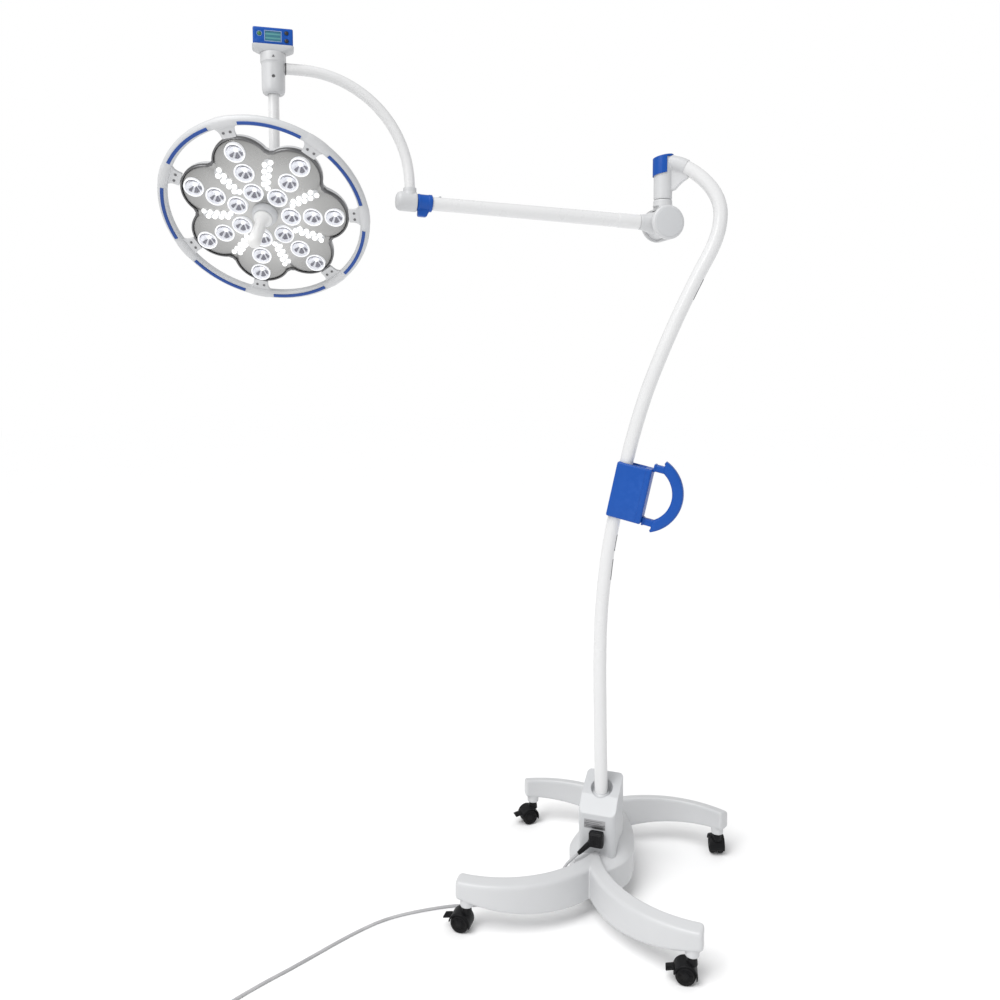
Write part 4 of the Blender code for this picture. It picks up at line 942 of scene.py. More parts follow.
def build_base():
    rings = [front_ring(LEG_START_ANGLE - step * (LEG_START_ANGLE - 90.0) / 48)
             for step in range(49)]
    end = LEG_END_X - LEG_ARC_CENTRE[0]
    for step in range(7):
        turn = step / 6 * math.pi / 2
        rings.append(front_ring(90.0, end - 0.010 * (1 - math.sin(turn)),
                                0.010 * (1 - math.cos(turn))))
    legs = mirrored_legs("front_legs", rings)
    span = REAR_START_ANGLE - REAR_END_ANGLE
    rings = [rear_ring(REAR_START_ANGLE - step * span / 44) for step in range(45)]
    for step in range(1, 7):
        turn = step / 6 * math.pi / 2
        rings.append(rear_ring(REAR_END_ANGLE - 1.2 * math.sin(turn), 0.009 * (1 - math.cos(turn))))
    rear = mirrored_legs("rear_bar", rings)

    outline = []
    for side in (1, -1):
        for step in range(-24, 24):
            length = BODY_REAR_LENGTH if side * step > 0 else BODY_FRONT_LENGTH
            y = side * step / 24 * length
            outline.append((side * BODY_HALF_WIDTH * (1 - (step / 24) ** 2), y))
    rings = [[Vector((x * 0.97, y * 0.97, LEG_FLOOR)) for x, y in outline],
             [Vector((x, y, LEG_FLOOR + 0.004)) for x, y in outline]]
    for share in (1.0, 0.93, 0.84, 0.72, 0.58, 0.44, 0.3, 0.15):
        rings.append([Vector((x * share, y * share, body_top(y * share, share)))
                      for x, y in outline])
    body = solid("body", loft(rings), STAND)
    base = combine(combine(body, legs, "UNION"), rear, "UNION")
    shape = bmesh.new()
    for sx in (-1, 1):
        for sy in (-1, 1):
            spot = Matrix.Translation((sx * CASTOR_REACH, sy * CASTOR_REACH, 0.0))
            boss = [(0.0, 0.110), (0.0185, 0.110), (0.0180, 0.0705), (0.0165, 0.0685),
                    (0.0, 0.0685)]
            add_lathe(shape, boss, 40, spot)
    combine(base, solid("bosses", shape, STAND), "UNION")
    seat = block("seat", (0.1036, 0.1176, 0.12), STAND @ at(0, 0, 0.1925), 0.010, 4)
    combine(base, seat)
    hollow = block("hollow", (0.1006, 0.1606, 0.070), STAND @ at(0, 0, 0.052), 0.002, 2)
    combine(base, hollow)
    remeshed(base, 0.0022, 5, 0.45)
    base.name = "base_casting"
    return piece(base, "stand", "white_cast", WHITE_CAST, "base_legs")


def build_housing():
    """Column housing: sloped front and top, a recess round the pole and the inlet's window."""
    half_y = 0.060
    ridge_y = -0.020
    front_top, ridge_top, back_top = 0.250, 0.288, 0.325
    outline = rounded_rect(0.053, half_y, 0.0135)
    rings = [[Vector((x, y, z)) for x, y in outline] for z in (0.1323, back_top)]
    housing = solid("housing", loft(rings), STAND)
    slope = math.atan2(ridge_top - front_top, ridge_y + half_y)
    crown = math.atan2(back_top - ridge_top, half_y - ridge_y)
    for tilt, y, z in ((slope, -half_y, front_top), (crown, half_y, back_top)):
        lift = Vector((0.0, -math.sin(tilt), math.cos(tilt))) * 0.1
        spot = at(0.0, y + lift.y, z + lift.z) @ Matrix.Rotation(tilt, 4, "X")
        combine(housing, block("wedge", (0.2, 0.4, 0.2), STAND @ spot, 0.0))
    recess = [(0.0, 0.40), (0.034, 0.40), (0.031, 0.300), (0.028, 0.282), (0.0, 0.282)]
    combine(housing, lathe("recess", recess, STAND @ at(0, 0.004, 0)))
    bore = rod(0.0192, 0.40, 0.10)
    combine(housing, lathe("bore", bore, STAND))
    combine(housing, block("room", (0.096, 0.110, 0.2), STAND @ at(0, 0, 0.140), 0.004))
    window = block("window", (0.034, 0.03, 0.033), STAND @ at(INLET_X, -half_y, INLET_Z), 0.0015)
    combine(housing, window)
    remeshed(housing, 0.0015, 5, 0.5)
    housing.name = "housing_shell"
    return piece(housing, "stand", "white_plastic", WHITE_PLASTIC, "column_housing")


def build_inlet_and_plate():
    shape = box_shape((0.0332, 0.004, 0.0322), at(INLET_X, -0.0592, INLET_Z), 0.001, 2)
    box_shape((0.0332, 0.0225, 0.0322), at(INLET_X, -0.0458, INLET_Z), 0.0008, 2, shape)
    socket = solid("inlet_frame", shape, STAND)
    combine(socket, block("well", (0.0282, 0.032, 0.0242), STAND @ at(INLET_X, -0.060, INLET_Z),
                          0.001))
    piece(socket, "stand", "black_plastic", BLACK_PLASTIC, "inlet_socket")

    shape = box_shape((0.0600, 0.0009, 0.0250), at(PLATE_X, -0.0603, 0.2225), 0.0004, 2)
    plate = solid("rating_plate", shape, STAND)
    piece(plate, "stand", "silver_panel", PLATE_GREY)
    shape = bmesh.new()
    for row, width in enumerate((0.046, 0.038, 0.050, 0.030)):
        spot = at(PLATE_X - (0.050 - width) / 2, -0.0608, 0.2300 - row * 0.0050)
        box_shape((width, 0.0003, 0.0014), spot, 0.0, 1, shape)
    for sx in (-1, 1):
        screw = rounded(rod(0.0016, 0.0008, 0.0), 0.0005)
        add_lathe(shape, screw, 20, at(PLATE_X + sx * 0.0272, -0.0607, 0.2225) @ TURN_Y.inverted())
    lines = solid("rating_plate_marks", shape, STAND)
    piece(lines, "stand", "silver_panel", RIM_METAL)


def build_castors():
    """Twin-wheel castors, made once and copied: hood with its stem, wheels and brake pedal."""
    hood_r, wheel_r = 0.0297, 0.025
    axle = at(-0.016, 0.0, wheel_r)
    profile = rounded([(0.0, 0.0230), (0.0280, 0.0230), (hood_r, 0.0205), (hood_r, -0.0205),
                       (0.0280, -0.0230), (0.0, -0.0230)], 0.003, 4)
    hood = lathe("hood", profile, axle @ TURN_Y, 64)
    room = wheel_r + 0.0014
    for side in (-1, 1):
        low, high = (0.0034, 0.030) if side > 0 else (-0.030, -0.0034)
        slot = rod(room, high, low)
        combine(hood, lathe("slot", slot, axle @ TURN_Y, 64))
    combine(hood, block("below", (0.08, 0.06, 0.04),
                        at(-0.020, 0.0, 0.0035) @ Matrix.Rotation(math.radians(12), 4, "Y"), 0))
    post = lathe("post", rounded([(0.0, 0.0675), (0.0118, 0.0675), (0.0140, 0.0465),
                                  (0.0, 0.0465)], 0.001, 3), at(0, 0, 0), 40)
    combine(post, lathe("clear", rod(room, 0.03, -0.03),
                        axle @ TURN_Y, 64))
    combine(hood, post, "UNION")
    stem = [(0.0, 0.0998), (0.0050, 0.0998), (0.0055, 0.0985), (0.0055, 0.056), (0.0, 0.056)]
    combine(hood, lathe("stem", stem, at(0, 0, 0), 32), "UNION")
    tidy_edges(hood, 0.0007)

    edge = 0.0207
    half = [(0.0045, 0.0030), (0.0200, 0.0030), (0.0225, 0.0042), (0.0250, 0.0072),
            (0.0250, 0.0172), (0.0225, edge - 0.0004), (0.0200, edge), (0.0180, edge - 0.0006),
            (0.0172, edge - 0.0032), (0.0100, edge - 0.0032), (0.0092, edge - 0.0010),
            (0.0050, edge - 0.0004), (0.0, edge - 0.0004)]
    half = rounded(half, 0.0012, 3)
    shape = bmesh.new()
    profile = [(radius, height) for radius, height in reversed(half)]
    profile += [(radius, -height) for radius, height in half]
    add_lathe(shape, profile, 72)
    for side in (-1, 1):
        for rib in range(6):
            turn = Matrix.Rotation(math.radians(rib * 60.0), 4, "Z")
            spot = turn @ at(0.0138, 0.0, side * (edge - 0.0026))
            box_shape((0.0078, 0.0022, 0.0024), spot, 0.0005, 2, shape)
    wheels = solid("wheels", shape, axle @ TURN_Y)

    shape = box_shape((0.0205, 0.0260, 0.0040), at(-0.0118, 0.0, -0.0022), 0.0015, 3)
    for rib in range(4):
        box_shape((0.0014, 0.0200, 0.0012), at(-0.0190 + rib * 0.0036, 0.0, 0.0001), 0.0004, 2,
                  shape)
    pedal_at = at(-0.0425, 0.0, 0.0385)
    pedal_turn = Matrix.Rotation(math.radians(-12), 4, "Y")
    pedal = solid("pedal", shape, Matrix.Identity(4))
    parts = (("hood", hood, "castor_", "castor_hood_", "castor_plastic", CASTOR_PLASTIC,
              hood.matrix_world.copy()),
             ("wheels", wheels, "wheels_", "castor_wheels_", "tyre_rubber", TYRE,
              wheels.matrix_world.copy()),
             ("pedal", pedal, "brake_", "brake_pedal_", "castor_plastic", CASTOR_PLASTIC,
              pedal_at @ pedal_turn))
    for corner in ("front_left", "front_right", "back_left", "back_right"):
        pivot = joint_point("castor_swivel_" + corner)
        pivot.z = 0.0
        side = joint_axis("wheel_spin_" + corner)
        seat = basis(pivot, side.cross(UP), side, UP)
        for label, source, body, node, slot, look, place in parts:
            made = copy_of(source, "castor_%s_%s" % (label, corner), seat @ place)
            piece(made, body + corner, slot, look, node + corner)
    for source in (hood, wheels, pedal):
        bpy.data.objects.remove(source, do_unlink=True)


build_base()
build_housing()
build_inlet_and_plate()
build_castors()


# ---------------------------------------------------------------- pole, push handle, spindle

POLE_RADIUS = 0.0185
POLE_SIDE = Vector((0.0, -1.0, 0.0))
POLE_ROUTE = (
    (0.000, 0.0905), (-0.001, 0.300), (-0.005, 0.500), (-0.007, 0.680), (-0.004, 0.800),
    (0.003, 0.890), (0.014, 0.985), (0.032, 1.085), (0.054, 1.190), (0.080, 1.301),
    (0.115, 1.420), (0.157, 1.532), (0.205, 1.644), (0.252, 1.742), (0.284, 1.804),
    (0.301, 1.850), (0.307, 1.892), (0.303, 1.926), (0.289, 1.957), (0.266, 1.986),
    (0.237, 2.011), (0.206, 2.030), (0.172, 2.041),
)
POLE_LINE = smooth_route([(x, 0.0, z) for x, z in POLE_ROUTE], 0.012)


def strip_on_pole(name, low, high, middle, spread, look, slot):
    """A thin blank label that follows the pole between two heights, on one side of it."""
    line = [point for point in POLE_LINE if low <= point.z <= high and point.x < 0.30]
    section = []
    for radius, order in ((POLE_RADIUS + 0.0004, 1), (POLE_RADIUS - 0.0002, -1)):
        turns = [math.radians(middle + spread * (step / 5 - 1)) for step in range(11)]
        section += [(radius * math.cos(turn), radius * math.sin(turn)) for turn in turns[::order]]
    rings = swept(line, section, POLE_SIDE)
    return piece(solid(name, loft(rings), STAND), "stand", slot, look)


def build_pole():
    rings = swept(POLE_LINE, circle(POLE_RADIUS, 56), POLE_SIDE)
    pole = solid("pole", loft(rings), STAND)
    piece(pole, "stand", "white_paint", WHITE_PAINT, "pole_tube")
    for number, (low, high) in enumerate(((1.675, 1.745), (0.985, 1.040), (0.895, 0.972))):
        strip_on_pole("pole_label_%d" % (number + 1), low, high, 100.0, 24.0, LABEL_DARK,
                      "black_plastic")
    grommet = rounded([(0.0186, 0.2805), (0.0245, 0.2805), (0.0245, 0.2850), (0.0205, 0.2900),
                       (0.0186, 0.2900)], 0.0015, 3, closed=True)
    ring = lathe("pole_seal", grommet, STAND, 56, closed=True)
    piece(ring, "stand", "white_plastic", WHITE_PLASTIC)


def build_push_handle():
    lean = Matrix.Rotation(math.radians(12.2), 4, "Y")
    spot = STAND @ at(0.0755, 0.0, 1.153) @ lean
    case = block("push_handle_case", (0.0975, 0.056, 0.154), spot, 0.0050, 5)
    bore = swept([p for p in POLE_LINE if 1.0 < p.z < 1.3], circle(POLE_RADIUS + 0.0006, 48),
                 POLE_SIDE)
    combine(case, solid("bore", loft(bore), STAND))
    pocket = block("pocket", (0.062, 0.046, 0.02), spot @ at(-0.002, 0.0, 0.0825), 0.004)
    combine(case, pocket)
    for side in (-1, 1):
        combine(case, block("groove", (0.0012, 0.0012, 0.148),
                            spot @ at(0.0330, side * 0.0281, 0.0), 0.0))
    for z in (-0.050, 0.050):
        hole = rod(0.0034, 0.004, -0.004)
        combine(case, lathe("hole", hole, spot @ at(0.0412, 0.028, z) @ TURN_Y, 28))
    shaded(case)
    piece(case, "stand", "blue_plastic", BLUE_PLASTIC, "handle_box")

    centre_x, centre_z, outer, inner = 0.0355, 0.006, 0.109, 0.079
    middle = (outer + inner) / 2
    section = rounded([(0.013, 0.015), (0.013, -0.015), (-0.013, -0.015), (-0.013, 0.015)],
                      0.0075, 5, closed=True)
    rings = []
    count = 60
    for step in range(count + 1):
        turn = math.radians(-67.0 + 134.0 * step / count)
        near_end = min(step, count - step) / count
        taper = min(1.0, 0.10 + (near_end / 0.07) ** 0.8) if near_end < 0.07 else 1.0
        out = Vector((math.cos(turn), 0.0, math.sin(turn)))
        centre = Vector((centre_x, 0.0, centre_z)) + out * middle
        rings.append([centre + out * (b if b > 0 else b * taper + 0.015 * (1 - taper))
                      + Vector((0.0, a, 0.0)) for a, b in section])
    grip = solid("push_grip", loft(rings), spot)
    for side in (-1, 1):
        z = centre_z + side * 0.0755
        bar = block("bar", (0.036, 0.022, 0.0190), spot @ at(0.0665, 0.0, z), 0.004, 4)
        combine(grip, bar, "UNION")
        collar = block("bar_root", (0.006, 0.025, 0.0215), spot @ at(0.0520, 0.0, z), 0.002, 3)
        combine(grip, collar, "UNION")
    shaded(grip, 38.0)
    piece(grip, "stand", "blue_plastic", BLUE_PLASTIC, "handle_grip")


def sheared(obj, slope, above=None):
    """Tips the flat ends of an upright solid up towards +X."""
    for vert in obj.data.vertices:
        if above is None or vert.co.z > above:
            vert.co.z += slope * vert.co.x
    return obj


def build_spindle():
    tube = rounded([(0.0, 2.0515), (0.0245, 2.0515), (0.0245, 1.9450), (0.0232, 1.9426),
                    (0.0, 1.9426)], 0.0016, 3)
    housing = sheared(lathe("spindle_tube", tube, SPINDLE, 64), 0.20, 1.99)
    web = [(0.008, 0.020), (0.008, 0.082), (0.026, 0.080), (0.0540, 0.0700), (0.0700, 0.0555),
           (0.0560, 0.0470), (0.0420, 0.0350), (0.0330, 0.0240)]
    rings = []
    for y, grow in ((-0.0080, -0.0015), (-0.0065, 0.0), (0.0065, 0.0), (0.0080, -0.0015)):
        middle = Vector((0.033, 0.055))
        ring = []
        for x, z in rounded(web, 0.006, 4, closed=True):
            off = (Vector((x, z)) - middle)
            point = middle + off * (1 + grow / off.length)
            ring.append(Vector((point.x, y, 1.9425 + point.y)))
        rings.append(ring)
    combine(housing, solid("gusset", loft(rings), SPINDLE), "UNION")
    end = [p - Vector((0.1555, 0.0, 0.0)) for p in POLE_LINE if p.z > 2.022 and p.x < 0.23]
    weld = swept(end, circle(POLE_RADIUS + 0.0016, 48), POLE_SIDE)
    combine(housing, solid("weld", loft(weld), SPINDLE), "UNION")
    remeshed(housing, 0.0013, 6, 0.5)
    housing.name = "spindle_bearing"
    piece(housing, "stand", "white_cast", WHITE_CAST, "spindle_housing")

    cap_profile = rounded([(0.0, 2.0562), (0.0275, 2.0562), (0.0275, 2.0090), (0.0262, 2.0090),
                           (0.0256, 2.0480), (0.0, 2.0520)], 0.0016, 3)
    cap = sheared(lathe("spindle_cap", cap_profile, SPINDLE, 72), 0.20)
    cut = block("cap_cut", (0.04, 0.08, 0.060), SPINDLE @ at(0.0345, 0.0, 2.0250), 0.003)
    combine(cap, cut)
    lip = block("lip", (0.016, 0.024, 0.0036),
                SPINDLE @ at(0.0160, 0.0, 2.0577) @ Matrix.Rotation(math.radians(-11.3), 4, "Y"),
                0.0014)
    combine(cap, lip, "UNION")
    shaded(cap)
    piece(cap, "stand", "blue_plastic", BLUE_PLASTIC, "hook_cap")


build_pole()
build_push_handle()
build_spindle()


# ---------------------------------------------------------------- swivel yoke and arm

CHEEK_RADIUS = 0.045
CHEEK_OUTER = 0.042
HUB_RADIUS = 0.0385
HUB_HALF = 0.030
ARM_END = 0.626
COLLAR_END = 0.664
TEE_X = 0.681
RISE = math.asin(ARM_X.z)


def build_yoke():
    top = 1.9415 - PIVOT.z
    neck = [(0.0, top), (0.0234, top), (0.0246, top - 0.0014), (0.0250, top - 0.004),
            (0.0250, 0.052), (0.0275, 0.040), (0.0330, 0.026), (0.0330, 0.018), (0.0, 0.018)]
    yoke = lathe("yoke", neck, BOW, 64)
    drum = rounded([(0.0, CHEEK_OUTER), (0.0405, CHEEK_OUTER), (0.0422, CHEEK_OUTER - 0.0012),
                    (CHEEK_RADIUS, CHEEK_OUTER - 0.0038), (CHEEK_RADIUS, -CHEEK_OUTER + 0.0038),
                    (0.0422, -CHEEK_OUTER + 0.0012), (0.0405, -CHEEK_OUTER), (0.0, -CHEEK_OUTER)],
                   0.0016, 3)
    combine(yoke, lathe("drum", drum, BOW @ TURN_Y, 96), "UNION")
    wide = HUB_HALF + 0.0004
    room = rounded(rod(HUB_RADIUS + 0.0007, wide, -wide), 0.001, 2)
    combine(yoke, lathe("room", room, BOW @ TURN_Y, 96))
    combine(yoke, block("mouth", (0.09, 2 * wide, 0.168), BOW @ at(0.045, 0, -0.0475), 0.001))
    combine(yoke, block("mouth_top", (0.06, 2 * wide, 0.05), BOW @ at(0.0490, 0, 0.021), 0.001))
    tidy_edges(yoke)
    yoke.name = "swivel_yoke_casting"
    piece(yoke, "swivel", "white_cast", WHITE_CAST, "swivel_yoke")
    shape = bmesh.new()
    for side in (-1, 1):
        disc = rounded([(0.0, 0.0012), (0.0372, 0.0012), (0.0384, 0.0004), (0.0384, -0.0006),
                        (0.0, -0.0006)], 0.0005, 2)
        turn = TURN_Y if side > 0 else TURN_Y.inverted()
        add_lathe(shape, disc, 80, at(0, side * CHEEK_OUTER, 0) @ turn)
    discs = solid("pivot_cover_discs", shape, BOW)
    piece(discs, "swivel", "white_plastic", WHITE_PLASTIC)


def build_arm():
    """Hub with its flared neck, the tapered tube, and the blue locking collar."""
    hub_profile = rounded(rod(HUB_RADIUS, HUB_HALF, -HUB_HALF), 0.0015, 3)
    hub = lathe("hub", hub_profile, ARM @ TURN_Y, 88)
    neck = [(0.0, 0.010), (0.0288, 0.010), (0.0286, 0.0300), (0.0268, 0.0380), (0.0240, 0.0460),
            (0.0216, 0.0540), (0.0204, 0.0620), (0.0200, 0.0665), (0.0192, 0.0679),
            (0.0, 0.0679)]
    combine(hub, lathe("neck", neck, ARM @ TURN_X, 64), "UNION")
    shaded(hub)
    hub.name = "arm_hub_casting"
    piece(hub, "arm", "white_cast", WHITE_CAST, "arm_hub")

    tube = rounded([(0.0140, ARM_END), (0.0161, ARM_END), (0.0166, ARM_END - 0.0012),
                    (0.0168, ARM_END - 0.006), (0.0174, 0.420), (0.0182, 0.240),
                    (0.0186, 0.1315), (0.0186, 0.1300), (0.0194, 0.1280), (0.0196, 0.0700),
                    (0.0190, 0.0684), (0.0150, 0.0684)], 0.0012, 3, closed=True)
    arm = lathe("arm_tube_drawn", tube, ARM @ TURN_X, 72, closed=True)
    piece(arm, "arm", "white_cast", WHITE_PAINT, "arm_tube")
    screw = rounded([(0.0, 0.0030), (0.0026, 0.0030), (0.0034, 0.0022), (0.0034, -0.0010),
                     (0.0, -0.0010)], 0.0006, 3)
    stud = lathe("arm_screw", screw, ARM @ at(0.606, 0.0, 0.0168), 28)
    slot = block("slot", (0.0052, 0.0008, 0.0014), ARM @ at(0.606, 0.0, 0.0198), 0.0)
    combine(stud, slot)
    piece(stud, "arm", "steel", STEEL)

    start = ARM_END + 0.0003
    wall = [(0.0130, COLLAR_END), (0.0200, COLLAR_END), (0.0213, COLLAR_END - 0.0016),
            (0.0213, COLLAR_END - 0.0070), (0.0206, COLLAR_END - 0.0080),
            (0.0206, start + 0.0095), (0.0213, start + 0.0085), (0.0213, start + 0.0016),
            (0.0200, start), (0.0130, start)]
    collar = lathe("collar", rounded(wall, 0.0008, 3, closed=True), ARM @ TURN_X, 72, closed=True)
    middle = (COLLAR_END + start) / 2
    shape = box_shape((0.030, 0.023, 0.0205), at(middle + 0.0015, 0.0, -0.0242), 0.0045, 4)
    lobe = solid("lobe", shape, ARM)
    for vert in lobe.data.vertices:
        if vert.co.z < -0.028 and vert.co.x < middle:
            vert.co.x += 0.006
    combine(collar, lobe, "UNION")
    bore = rod(0.0131, COLLAR_END + 0.01, start - 0.01)
    combine(collar, lathe("bore", bore, ARM @ TURN_X, 48))
    hole = rod(0.0028, 0.008, -0.008)
    combine(collar, lathe("hole", hole, ARM @ at(middle + 0.002, -0.0115, -0.0262) @ TURN_Y, 24))
    tidy_edges(collar, 0.0005, 38.0)
    collar.name = "lock_collar_blue"
    piece(collar, "arm", "blue_plastic", BLUE_PLASTIC, "lock_collar")


# ---------------------------------------------------------------- bow, head housing and panel

BOW_RADIUS = 0.013
BOW_BEND = 0.261
BOW_STRAIGHT = 0.068
HEAD_X = 1.005
HOUSING_LOW, HOUSING_STEP, HOUSING_TOP = 0.266, 0.3396, 0.3607
DISH_HEIGHT = 0.0155
PANEL_LOW = HOUSING_TOP + DISH_HEIGHT + 0.0006
PANEL_SIZE = (0.092, 0.034, 0.0405)


def build_bow():
    tee_z = TEE_X * math.tan(RISE)
    along = Matrix.Rotation(math.pi / 2 - RISE, 4, "Y")
    start = COLLAR_END + 0.0003 - TEE_X
    end = 0.035
    profile = rounded([(0.0, end), (0.0145, end), (0.0212, end - 0.0045), (0.0236, end - 0.0105),
                       (0.0240, end - 0.020), (0.0240, start + 0.003), (0.0228, start),
                       (0.0, start)], 0.002, 4)
    tee = lathe("tee", profile, BOW @ at(TEE_X, 0, tee_z) @ along, 72)
    socket = rounded([(0.0, 0.0342), (0.0150, 0.0342), (0.0164, 0.0330), (0.0166, 0.024),
                      (0.0185, 0.016), (0.0185, 0.0), (0.0, 0.0)], 0.001, 3)
    combine(tee, lathe("tee_socket", socket, BOW @ at(TEE_X, 0, tee_z), 64), "UNION")
    shank = [(0.0, start + 0.004), (0.0122, start + 0.004), (0.0122, start - 0.044),
             (0.0112, start - 0.045), (0.0, start - 0.045)]
    combine(tee, lathe("shank", shank, BOW @ at(TEE_X, 0, tee_z) @ along, 40), "UNION")
    tidy_edges(tee, 0.0009, 38.0, 3)
    tee.name = "bow_tee_casting"
    piece(tee, "bow", "white_cast", WHITE_CAST, "bow_tee")

    line = [Vector((TEE_X, 0.0, tee_z + 0.0300)), Vector((TEE_X, 0.0, tee_z + 0.034)),
            Vector((TEE_X, 0.0, BOW_STRAIGHT))]
    for step in range(1, 61):
        turn = math.radians(90.0 * step / 60)
        line.append(Vector((TEE_X + BOW_BEND * (1 - math.cos(turn)), 0.0,
                            BOW_STRAIGHT + BOW_BEND * math.sin(turn))))
    line.append(Vector((HEAD_X - 0.0245, 0.0, BOW_STRAIGHT + BOW_BEND)))
    rings = swept(line, circle(BOW_RADIUS, 48), Vector((0.0, 1.0, 0.0)))
    bow = solid("bow_tube_bent", loft(rings), BOW)
    piece(bow, "bow", "white_paint", WHITE_PAINT, "bow_tube")
    seal = rounded([(BOW_RADIUS, 0.0), (BOW_RADIUS + 0.0014, 0.0), (BOW_RADIUS + 0.0014, 0.0030),
                    (BOW_RADIUS, 0.0036)], 0.0006, 3, closed=True)
    spot = BOW @ at(HEAD_X - 0.0262, 0, BOW_STRAIGHT + BOW_BEND) @ TURN_X.inverted()
    piece(lathe("bow_seal", seal, spot, 56, closed=True), "bow", "black_plastic", RIM_METAL)


def build_head_housing():
    outer = [(0.0285, HOUSING_TOP), (0.0297, HOUSING_TOP - 0.0015), (0.0297, HOUSING_STEP),
             (0.0284, HOUSING_STEP - 0.0012), (0.0272, HOUSING_STEP - 0.0060),
             (0.0270, HOUSING_LOW + 0.016), (0.0264, HOUSING_LOW + 0.009),
             (0.0246, HOUSING_LOW + 0.003), (0.0215, HOUSING_LOW)]
    profile = [(0.0, HOUSING_TOP), *outer, (0.0134, HOUSING_LOW), (0.0134, HOUSING_LOW + 0.02),
               (0.0, HOUSING_LOW + 0.02)]
    housing = lathe("housing", rounded(profile, 0.0010, 3), BOW @ at(HEAD_X, 0, 0), 80)
    hole = rod(0.0040, 0.008, -0.006)
    combine(housing, lathe("hole", hole, BOW @ at(HEAD_X, 0.0260, 0.303) @ TURN_Y, 36))
    tidy_edges(housing, 0.0004, 40.0)
    housing.name = "head_housing_turned"
    piece(housing, "bow", "white_cast", WHITE_CAST, "head_housing")
    screw = rounded([(0.0, 0.0020), (0.0012, 0.0020), (0.0016, 0.0032), (0.0036, 0.0036),
                     (0.0038, 0.0), (0.0, 0.0)], 0.0004, 2)
    piece(lathe("set_screw", screw, BOW @ at(HEAD_X, 0.0212, 0.303) @ TURN_Y, 28), "bow",
          "steel", RIM_METAL)
    corners = ((-0.0035, -0.0030), (0.0035, -0.0030), (0.0, 0.0032))
    rings = [[(HEAD_X + x, math.sqrt(depth ** 2 - x ** 2), 0.3485 + z) for x, z in corners]
             for depth in (0.0292, 0.0301)]
    piece(solid("position_mark", loft(rings), BOW), "bow", "white_cast", RIM_METAL)


